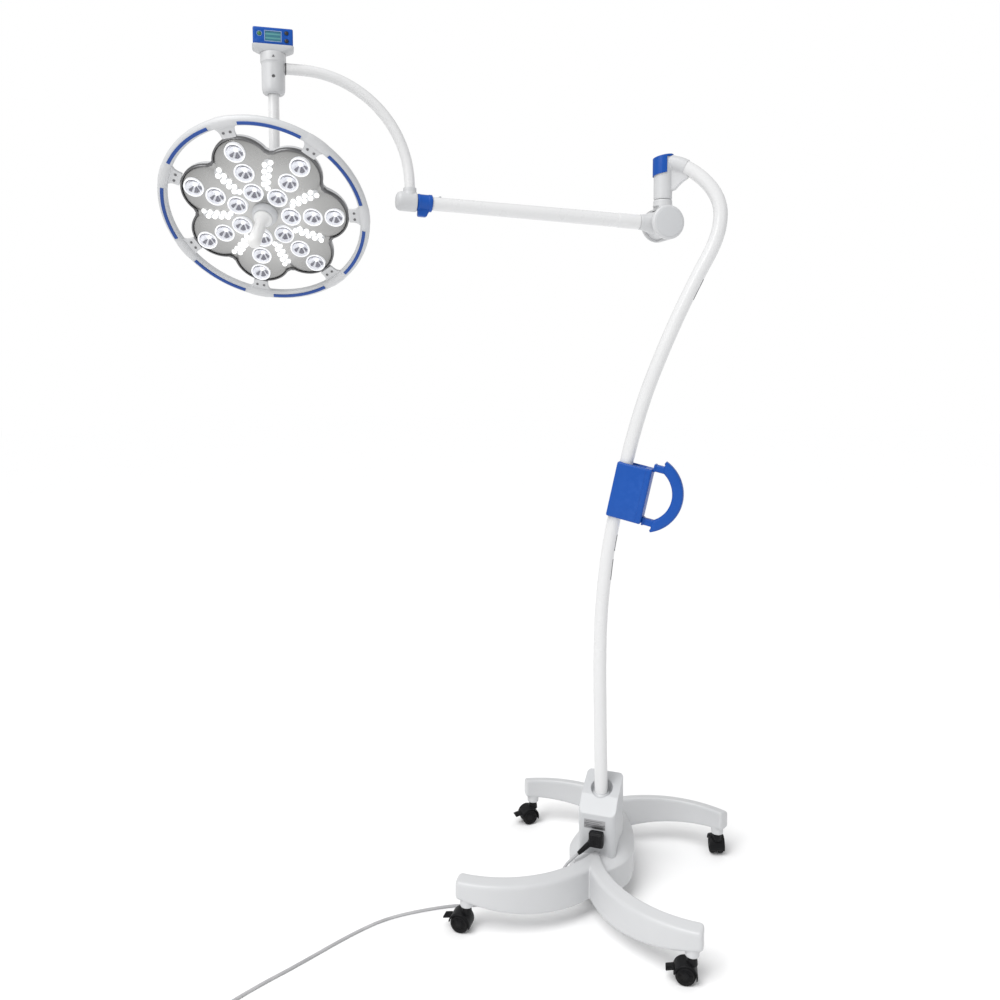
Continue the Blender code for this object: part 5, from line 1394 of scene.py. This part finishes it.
def build_dish_and_panel():
    """The flared white dish and the blue control panel on it, with its screen and buttons."""
    low = HOUSING_TOP + 0.0003
    sections = ((0.0000, 0.0325, 0.0215, 0.0200), (0.0015, 0.0345, 0.0225, 0.0200),
                (0.0050, 0.0410, 0.0235, 0.0160), (0.0090, 0.0462, 0.0246, 0.0110),
                (0.0120, 0.0478, 0.0250, 0.0090), (0.0150, 0.0480, 0.0250, 0.0085),
                (0.0155, 0.0474, 0.0244, 0.0080))
    rings = [[Vector((x, y, low + z)) for x, y in rounded_rect(hx, hy, c)]
             for z, hx, hy, c in sections]
    inner = ((0.0155, 0.0462, 0.0232, 0.0072), (0.0135, 0.0456, 0.0226, 0.0068))
    rings += [[Vector((x, y, low + z)) for x, y in rounded_rect(hx, hy, c)]
              for z, hx, hy, c in inner]
    dish = solid("panel_dish_flared", loft(rings), BOW @ at(HEAD_X, 0, 0))
    piece(dish, "bow", "white_plastic", WHITE_PLASTIC, "panel_dish")
    gasket = [[Vector((x, y, low + z)) for x, y in rounded_rect(0.0445, 0.0158, 0.0030)]
              for z in (0.0136, PANEL_LOW - low + 0.0006)]
    piece(solid("panel_gasket", loft(gasket), BOW @ at(HEAD_X, 0, 0)), "bow", "black_plastic",
          BLACK_PLASTIC)

    half_y = PANEL_SIZE[1] / 2
    mid_z = PANEL_LOW + PANEL_SIZE[2] / 2
    outline = rounded_rect(PANEL_SIZE[0] / 2, PANEL_SIZE[2] / 2, 0.0035, 5)
    rings = []
    for y, grow in ((-half_y, -0.0022), (-half_y + 0.0008, -0.0008), (-half_y + 0.0024, 0.0),
                    (half_y - 0.0024, 0.0), (half_y - 0.0008, -0.0008), (half_y, -0.0022)):
        ring = []
        for x, z in outline:
            share_x = 1 + grow / (PANEL_SIZE[0] / 2)
            share_z = 1 + grow / (PANEL_SIZE[2] / 2)
            crown = 0.0016 * max(0.0, 1 - (x / 0.024) ** 2) if z > 0.015 else 0.0
            ring.append(Vector((HEAD_X + x * share_x, y, mid_z + (z + crown) * share_z)))
        rings.append(ring)
    case = solid("panel_case", loft(rings), BOW)
    window = block("window", (0.0366, 0.006, 0.0226), BOW @ at(HEAD_X, half_y, mid_z), 0.001)
    combine(case, window)
    spots = (("button_power", 0.031, 0.004), ("button_plus", -0.031, 0.009),
             ("button_minus", -0.031, -0.009))
    for _, x, z in spots:
        bore = rod(0.0050, 0.008, -0.008)
        combine(case, lathe("bore", bore, BOW @ at(HEAD_X + x, half_y, mid_z + z) @ TURN_Y, 40))
    tidy_edges(case, 0.0004, 40.0)
    piece(case, "bow", "blue_plastic", BLUE_PLASTIC, "control_panel")

    shape = bmesh.new()
    for sx, sz, wide, tall in ((0, 1, 0.0392, 0.0015), (0, -1, 0.0392, 0.0015),
                               (1, 0, 0.0015, 0.0252), (-1, 0, 0.0015, 0.0252)):
        spot = at(HEAD_X + sx * 0.0189, half_y + 0.0001, mid_z + sz * 0.0119)
        box_shape((wide, 0.0010, tall), spot, 0.0004, 2, shape)
    piece(solid("screen_frame", shape, BOW), "bow", "blue_plastic", FRAME_GREY)
    screen = block("screen", (0.0360, 0.0022, 0.0220), BOW @ at(HEAD_X, half_y - 0.0016, mid_z),
                   0.0006, 2)
    piece(screen, "bow", "display", SCREEN, "display")
    bodies = {"button_power": ("power_key", "green_button", GREEN_BUTTON),
              "button_plus": ("plus_key", "black_button", DARK_BUTTON),
              "button_minus": ("minus_key", "black_button", DARK_BUTTON)}
    for name, x, z in spots:
        body, slot, look = bodies[name]
        dome = rounded([(0.0, 0.0019), (0.0026, 0.0017), (0.0042, 0.0008), (0.0046, -0.0006),
                        (0.0046, -0.0048), (0.0, -0.0048)], 0.0007, 4)
        spot = BOW @ at(HEAD_X + x, half_y, mid_z + z) @ TURN_Y
        piece(lathe(name + "_dome", dome, spot, 40), body, slot, look, name)
        rim = rounded([(0.0051, 0.0007), (0.0060, 0.0007), (0.0064, -0.0004),
                       (0.0051, -0.0004)], 0.0003, 2, closed=True)
        piece(lathe(name + "_ring", rim, spot, 40, closed=True), "bow", "blue_plastic",
              FRAME_GREY if name == "button_power" else BLUE_PLASTIC)


build_yoke()
build_arm()
build_bow()
build_head_housing()
build_dish_and_panel()


# ---------------------------------------------------------------- drop tube and lamp head

FACE = 0.1108
PETALS = 7
PETAL_ANGLE = math.radians(100.8)
PITCH = 2 * math.pi / PETALS
PETAL_CENTRE = 0.126
PETAL_RADIUS = 0.067
CROWN = 0.0115
LENS_RADII = (0.062, 0.112, 0.162)
LENS_RADIUS = 0.0228
LENS_LIFT = 0.0038
CUP_RADIUS = 0.0199
CUP_RIM = 0.0072
CUP_DEPTH = 0.0135
CUP_SLOPE = 0.0155
PANEL_HOLE = 0.0122
PANEL_INSET = 0.0034
RING_RADIUS = 0.230
RING_TUBE = 0.011
HANDLE_TIP = FACE + 0.125


def build_drop():
    low = 0.0300
    top = PIVOT.z + 0.344 - TILT_AT.z
    profile = rounded([(0.0105, top), (0.0125, top), (0.0125, low + 0.0003),
                       (0.0105, low + 0.0003)], 0.0006, 2, closed=True)
    piece(lathe("drop_tube_drawn", profile, DROP, 56, closed=True), "drop", "white_paint",
          WHITE_PAINT, "drop_tube")
    knuckle = lathe("knuckle", rounded(rod(0.0150, 0.013, -0.013), 0.0016, 4), DROP @ TURN_X, 64)
    neck = rounded([(0.0, low), (0.0122, low), (0.0135, low - 0.003), (0.0135, 0.017),
                    (0.0122, 0.008), (0.0, 0.008)], 0.001, 3)
    combine(knuckle, lathe("neck", neck, DROP, 56), "UNION")
    bore = rod(0.0053, 0.02, -0.02)
    combine(knuckle, lathe("bore", bore, DROP @ TURN_X, 32))
    tidy_edges(knuckle, 0.0006, 40.0)
    knuckle.name = "tilt_knuckle_casting"
    piece(knuckle, "drop", "white_cast", WHITE_CAST, "tilt_knuckle")


def petal_off(angle):
    """Angle from the nearest petal's own middle line."""
    return (angle - PETAL_ANGLE + PITCH / 2) % PITCH - PITCH / 2


def petal_reach(angle, inset=0.0):
    blur = math.radians(3.2)
    total = 0.0
    for part in (angle - blur, angle, angle + blur):
        off = petal_off(part)
        round_part = (PETAL_RADIUS - inset) ** 2 - (PETAL_CENTRE * math.sin(off)) ** 2
        total += PETAL_CENTRE * math.cos(off) + math.sqrt(round_part)
    return total / 3


PETAL_TURNS = [PETAL_ANGLE + 2 * math.pi * step / 336 for step in range(336)]


def petal_ring(level, inset=0.0, scale=1.0):
    ring = []
    for angle in PETAL_TURNS:
        reach = petal_reach(angle, inset) * scale
        ring.append(Vector((reach * math.cos(angle), reach * math.sin(angle), FACE + level)))
    return ring


def spot_at(radius, angle, level=0.0):
    return Vector((radius * math.cos(angle), radius * math.sin(angle), FACE + level))


def lens_spots():
    for petal in range(PETALS):
        angle = PETAL_ANGLE - petal * PITCH
        for radius in LENS_RADII:
            yield spot_at(radius, angle)


def build_shell():
    rings = [petal_ring(-0.0400, 0.0, 0.775), petal_ring(-0.0416, 0.0, 0.790),
             petal_ring(-0.0414, 0.0, 0.802), petal_ring(-0.0390, 0.0, 0.816)]
    for step in range(1, 8):
        share = step / 8
        rings.append(petal_ring(-0.0390 + 0.0260 * share, 0.0,
                                0.816 + 0.180 * math.sin(share * math.pi / 2) ** 0.9))
    rings += [petal_ring(-0.0120, 0.0, 0.998), petal_ring(-0.0060, 0.0003),
              petal_ring(-0.0020, 0.0003), petal_ring(-0.0020, 0.0032),
              petal_ring(-0.0120, 0.0036), petal_ring(-0.0360, 0.002, 0.80)]
    shell = solid("petal_shell", loft(rings), HEAD, 30.0)
    piece(shell, "head", "white_cast", WHITE_CAST, "head_shell")
    band = [petal_ring(-0.0060, -0.0005), petal_ring(0.0022, -0.0005), petal_ring(0.0032, 0.0004),
            petal_ring(0.0035, 0.0018), petal_ring(0.0028, 0.0030), petal_ring(0.0008, 0.0032),
            petal_ring(-0.0018, 0.0030), petal_ring(-0.0018, 0.0001), petal_ring(-0.0060, 0.0001)]
    piece(solid("petal_rim_band", ring_loft(band), HEAD, 30.0), "head", "silver_panel",
          RIM_METAL)


def relief(radius, angle, share):
    """Height of the panel's face: crowned along each petal, low in the valleys and at its rim."""
    across = radius * math.sin(abs(petal_off(angle)))
    crown = math.sqrt(max(0.0, 1.0 - min(1.0, across / 0.060) ** 2.4))
    rise = max(0.0, min(1.0, (radius - 0.028) / 0.040))
    rise = rise * rise * (3 - 2 * rise)
    edge = max(0.0, min(1.0, (1.0 - share) / 0.34))
    edge = math.sqrt(1.0 - (1.0 - edge) ** 2)
    return -0.0010 + CROWN * (0.25 * (1 - rise) + crown * rise) * edge


def face_level(middle, radius, lateral):
    """Height of the panel's face beside a line out from the centre."""
    angle = middle + math.atan2(lateral, radius)
    reach = math.hypot(radius, lateral)
    share = (reach - PANEL_HOLE) / (petal_reach(angle, PANEL_INSET) - PANEL_HOLE)
    return FACE + relief(reach, angle, min(1.0, share))


def build_panel():
    rings = []
    rows = 44
    for row in range(rows + 1):
        share = row / rows
        share = share if share < 0.7 else 0.7 + 0.3 * math.sin((share - 0.7) / 0.3 * math.pi / 2)
        ring = []
        for angle in PETAL_TURNS:
            radius = PANEL_HOLE + (petal_reach(angle, PANEL_INSET) - PANEL_HOLE) * share
            ring.append(spot_at(radius, angle, relief(radius, angle, share)))
        rings.append(ring)
    rings.append(petal_ring(-0.0040, PANEL_INSET))
    rings.append([spot_at(PANEL_HOLE, angle, -0.0040) for angle in PETAL_TURNS])
    panel = solid("petal_panel", ring_loft(rings), HEAD, 40.0)
    shape = bmesh.new()
    for spot in lens_spots():
        add_lathe(shape, rod(LENS_RADIUS + 0.0005, 0.03, -0.03), 48,
                  Matrix.Translation(spot))
    combine(panel, solid("holes", shape, HEAD))
    shaded(panel)
    panel.name = "petal_face_panel"
    piece(panel, "head", "silver_panel", SILVER_WITH_PAINTED_RIM_SHADE, "front_panel")


def build_lenses():
    """Each lens: a white rim and a bright cup that glow as painted light, dark facets round its lamp, two
    thin dark arcs of painted shadow on the cup's wall, and a clear cover.
    """
    rims, cups, facets_and_shadow_arcs, covers, lamps = (bmesh.new() for _ in range(5))
    rim = rounded([(LENS_RADIUS, -0.0015), (LENS_RADIUS, 0.0078), (LENS_RADIUS - 0.0008, 0.0092),
                   (0.0207, 0.0092), (CUP_RADIUS, 0.0080), (CUP_RADIUS, -0.0015)], 0.0006, 3, closed=True)
    cup = [(CUP_RADIUS, CUP_RIM)]
    for step in range(1, 10):
        share = step / 9
        cup.append((CUP_RADIUS - CUP_SLOPE * share ** 1.25,
                    CUP_RIM - CUP_DEPTH * math.sin(share * math.pi / 2)))
    cup += [(0.0, -0.0063), (0.0, -0.0070), (0.0206, -0.0070), (0.0206, CUP_RIM)]
    cover = [(0.0200, 0.0080)]
    for step in range(1, 9):
        turn = step / 8 * math.pi / 2
        cover.append((0.0200 * math.cos(turn), 0.0080 + 0.0030 * math.sin(turn)))
    cover[-1] = (0.0, 0.0110)
    cover += [(0.0, 0.0102), (0.0198, 0.0074)]
    lamp = [(0.0, -0.0010), (0.0022, -0.0016), (0.0036, -0.0032), (0.0040, -0.0062), (0.0, -0.0062)]
    for number, spot in enumerate(lens_spots()):
        place = Matrix.Translation(spot + Vector((0.0, 0.0, LENS_LIFT)))
        add_lathe(rims, rim, 56, place, closed=True)
        add_lathe(cups, cup, 48, place)
        add_lathe(covers, cover, 40, place, closed=True)
        add_lathe(lamps, lamp, 24, place)
        twist = math.radians((number % 3) * 9.0 - 9.0)
        for middle, half, near, far in ((-90, 24, 0.0045, 0.0155), (-148, 15, 0.0065, 0.0160),
                                        (-32, 15, 0.0065, 0.0160)):
            facet(facets_and_shadow_arcs, place, math.radians(middle) + twist, math.radians(half), near, far)
        # Two dark arcs on each cup's wall are painted shadow, not parts.
        for near, far, start, end in ((0.0166, 0.0188, 18, 154), (0.0128, 0.0143, 36, 134)):
            painted_shadow_arc(facets_and_shadow_arcs, place, near, far, math.radians(start) + twist,
                    math.radians(end) + twist)
    for name, shape, slot, look, nodes in (
            ("lens_rims", rims, "white_plastic", LENS_RIM_PAINTED_GLOW, ()),
            ("lens_cups", cups, "lens_glass", CUP_PAINTED_GLOW, ("lens_array",)),
            ("lens_facets_and_painted_shadow_arcs", facets_and_shadow_arcs, "lens_glass", CORE_DARK_AND_PAINTED_SHADOW, ()),
            ("lens_lamps", lamps, "lens_glass", LAMP_WHITE, ()),
            ("lens_covers", covers, "lens_glass", COVER, ())):
        piece(solid(name, shape, HEAD, 40.0), "head", slot, look, *nodes)


def facet(shape, place, middle, half, near, far):
    """A dark wedge standing in a cup, wide end outward, its top sloping down to the lamp."""
    rings = []
    for lift in (0, 1):
        ring = []
        for radius, turn in ((near, middle - half * 0.4), (far, middle - half),
                             (far * 1.04, middle), (far, middle + half),
                             (near, middle + half * 0.4)):
            floor_level = -0.0060 + 0.0110 * (radius / CUP_RADIUS) ** 2.4
            level = floor_level + lift * (0.0016 + 0.10 * (radius - near))
            ring.append(place @ Vector((radius * math.cos(turn), radius * math.sin(turn), level)))
        rings.append(ring)
    loft(rings, shape=shape)


def painted_shadow_arc(shape, place, near, far, start, end):
    """A thin dark arc on a cup's wall, tapered at its ends: painted shadow on the upper inside wall of
    the cup.
    """
    rings = []
    parts = 16
    for step in range(parts + 1):
        turn = start + (end - start) * step / parts
        thin = math.sin(math.pi * (0.08 + 0.84 * step / parts))
        middle = (near + far) / 2
        half = (far - near) / 2 * thin
        base = CUP_RIM - CUP_DEPTH * max(0.0, (CUP_RADIUS - middle) / CUP_SLOPE) ** 0.8
        corners = ((middle - half, base), (middle + half, base), (middle + half, base + 0.0012),
                   (middle - half, base + 0.0012))
        rings.append([place @ Vector((radius * math.cos(turn), radius * math.sin(turn), level))
                      for radius, level in corners])
    loft(rings, shape=shape)


def build_small_lamps():
    """In each valley, a zigzag of small white lamps on a narrow pale board."""
    domes = bmesh.new()
    boards = bmesh.new()
    dome = [(0.0, 0.0052)]
    for step in range(1, 9):
        turn = math.pi / 2 * (1 - step / 8)
        dome.append((0.0056 * math.cos(turn), 0.0052 * math.sin(turn)))
    dome += [(0.0056, -0.0014), (0.0, -0.0014)]
    for petal in range(PETALS):
        angle = PETAL_ANGLE - (petal + 0.5) * PITCH
        out = Matrix.Rotation(angle, 4, "Z")
        for number in range(9):
            radius = 0.0760 + number * 0.0078
            lateral = (0.0046 + 0.0020 * (number / 8)) * (1 if number % 2 else -1)
            level = face_level(angle, radius, lateral)
            add_lathe(domes, dome, 28, out @ at(radius, lateral, level + 0.0016))
        rings = []
        for step in range(21):
            share = step / 20
            radius = 0.0690 + 0.0750 * share
            half = 0.0086 + 0.0026 * share
            half *= math.sqrt(max(0.08, 1.0 - (2 * share - 1) ** 8))
            rim = [(half * side, face_level(angle, radius, half * side) + lift)
                   for side, lift in ((-1.0, -0.003), (-1.0, 0.0006), (-0.9, 0.0014), (-0.45, 0.0015),
                                      (0.0, 0.0015), (0.45, 0.0015), (0.9, 0.0014),
                                      (1.0, 0.0006), (1.0, -0.003))]
            rings.append([out @ Vector((radius, y, level)) for y, level in rim])
        loft(rings, shape=boards)
    piece(solid("small_lamps", domes, HEAD, 60.0), "head", "lens_glass", LAMP_WHITE)
    piece(solid("small_lamp_boards", boards, HEAD), "head", "silver_panel", WHITE_PLASTIC)


def build_sterile_handle():
    base = FACE + 0.0033
    socket = rounded([(0.0190, base + 0.0160), (0.0228, base + 0.0160), (0.0250, base + 0.0140),
                      (0.0272, base + 0.0085), (0.0288, base + 0.0030), (0.0300, base - 0.0012),
                      (0.0125, base - 0.0012), (0.0125, base + 0.0150), (0.0150, base + 0.0152)],
                     0.0014, 4, closed=True)
    piece(lathe("handle_socket_turned", socket, HEAD, 72, closed=True), "head", "white_plastic",
          WHITE_PLASTIC, "handle_socket")
    flange = base + 0.0163
    profile = [(0.0, HANDLE_TIP), (0.0070, HANDLE_TIP - 0.0006), (0.0112, HANDLE_TIP - 0.0030),
               (0.0140, HANDLE_TIP - 0.0075), (0.0152, HANDLE_TIP - 0.0130),
               (0.0153, HANDLE_TIP - 0.0200), (0.0146, HANDLE_TIP - 0.0270),
               (0.0132, HANDLE_TIP - 0.0340), (0.0126, HANDLE_TIP - 0.0420),
               (0.0123, flange + 0.0380), (0.0126, flange + 0.0280), (0.0138, flange + 0.0180),
               (0.0160, flange + 0.0110), (0.0190, flange + 0.0070), (0.0206, flange + 0.0045),
               (0.0206, flange + 0.0010), (0.0196, flange), (0.0120, flange),
               (0.0120, base + 0.0010), (0.0, base + 0.0010)]
    handle = lathe("sterile_handle_moulded", rounded(profile, 0.0022, 4), HEAD, 72)
    shape = bmesh.new()
    for rib in range(10):
        turn = Matrix.Rotation(2 * math.pi * rib / 10, 4, "Z")
        box_shape((0.0010, 0.0022, 0.040), turn @ at(0.0128, 0.0, flange + 0.0560), 0.0004, 2,
                  shape)
    combine(handle, solid("ribs", shape, HEAD), "UNION")
    shaded(handle)
    piece(handle, "sterile_handle", "handle_plastic", HANDLE_PLASTIC, "sterile_handle")


def ring_arc(name, start, end, section, parts, look, slot, *nodes):
    """A bar bent round the ring's circle; the section is (outward, forward) from its centre."""
    rings = []
    for step in range(parts + 1):
        turn = start + (end - start) * step / parts
        out = Vector((math.cos(turn), math.sin(turn), 0.0))
        centre = out * RING_RADIUS + Vector((0.0, 0.0, FACE))
        rings.append([centre + out * a + Vector((0.0, 0.0, b)) for a, b in section])
    whole = abs(end - start) > 6.28
    shape = ring_loft(rings[:-1]) if whole else loft(rings)
    return piece(solid(name, shape, HEAD, 40.0), "head", slot, look, *nodes)


def build_ring():
    ring_arc("grip_ring_moulded", 0.0, 2 * math.pi, circle(RING_TUBE, 28), 224, WHITE_PLASTIC,
             "white_plastic", "grip_ring")
    strip = rounded([(-0.0052, 0.0094), (-0.0052, 0.0118), (-0.0046, 0.0128), (0.0016, 0.0130),
                     (0.0024, 0.0122), (0.0024, 0.0094)], 0.0008, 3, closed=True)
    for petal in range(PETALS):
        middle = PETAL_ANGLE - (petal + 0.5) * PITCH
        half = math.radians(17.0)
        ring_arc("ring_strip_%d" % (petal + 1), middle - half, middle + half, strip, 40,
                 STRIP_BLUE, "blue_plastic")
    screws = bmesh.new()
    for petal in range(PETALS):
        angle = PETAL_ANGLE - petal * PITCH
        out = Matrix.Rotation(angle, 4, "Z")
        outline = [(0.1936, -0.0165), (0.2050, -0.0170), (0.2120, -0.0190), (0.2190, -0.0250),
                   (0.2196, -0.0250), (0.2196, 0.0250), (0.2190, 0.0250), (0.2120, 0.0190),
                   (0.2050, 0.0170), (0.1936, 0.0165)]
        outline = rounded(outline, 0.002, 3, closed=True)
        rings = []
        for level, grow in ((-0.0030, -0.0006), (-0.0024, 0.0), (0.0024, 0.0), (0.0030, -0.0006)):
            ring = []
            for x, y in outline:
                side = 1 if y > 0 else -1
                ring.append(out @ Vector((x, y + side * grow, FACE + level)))
            rings.append(ring)
        bracket = solid("bracket", loft(rings), HEAD)
        rings = []
        for step in range(13):
            turn = angle + math.radians(6.2) * (step / 6 - 1)
            thin = 1.0 - 0.085 * max(0.0, abs(step / 6 - 1) - 0.6) / 0.4
            away = Vector((math.cos(turn), math.sin(turn), 0.0))
            centre = away * RING_RADIUS + Vector((0.0, 0.0, FACE))
            rings.append([centre + away * a * thin + Vector((0.0, 0.0, b * thin))
                          for a, b in circle(RING_TUBE + 0.0010, 18)])
        combine(bracket, solid("sleeve", loft(rings), HEAD), "UNION")
        bracket.name = "ring_bracket_cast_%d" % (petal + 1)
        shaded(bracket, 35.0)
        piece(bracket, "head", "white_cast", WHITE_CAST, "ring_bracket_%d" % (petal + 1))
        for side in (-1, 1):
            screw = rounded([(0.0, 0.0036), (0.0010, 0.0036), (0.0012, 0.0046), (0.0026, 0.0046),
                             (0.0030, 0.0040), (0.0030, 0.0026), (0.0, 0.0026)], 0.0003, 2)
            add_lathe(screws, screw, 24, out @ at(0.2065, side * 0.0080, FACE))
    piece(solid("bracket_screws", screws, HEAD), "head", "steel", RIM_METAL)


def build_hub():
    top = FACE - 0.0420
    profile = rounded([(0.0, top), (0.0520, top), (0.0520, top - 0.0080), (0.0470, top - 0.0120),
                       (0.0400, top - 0.0260), (0.0360, 0.0360), (0.0, 0.0360)], 0.0025, 4)
    hub = lathe("hub", profile, HEAD, 80)
    for side in (-1, 1):
        x = side * 0.0178
        lug = lathe("lug", rounded(rod(0.0145, 0.004, -0.004), 0.001, 3), HEAD @ at(x, 0, 0) @ TURN_X, 48)
        combine(lug, block("stem", (0.008, 0.029, 0.045), HEAD @ at(x, 0, 0.0225), 0.0008), "UNION")
        combine(hub, lug, "UNION")
    bore = rod(0.0053, 0.03, -0.03)
    combine(hub, lathe("bore", bore, HEAD @ TURN_X, 32))
    tidy_edges(hub, 0.0006, 40.0)
    hub.name = "head_hub_casting"
    piece(hub, "head", "white_cast", WHITE_CAST, "head_hub")
    pin = rounded([(0.0, 0.0222), (0.0034, 0.0222), (0.0050, 0.0212), (0.0050, -0.0212),
                   (0.0034, -0.0222), (0.0, -0.0222)], 0.0006, 2)
    piece(lathe("tilt_pin_turned", pin, HEAD @ TURN_X, 32), "head", "steel", STEEL, "tilt_pin")


build_drop()
build_shell()
build_panel()
build_lenses()
build_small_lamps()
build_sterile_handle()
build_ring()
build_hub()
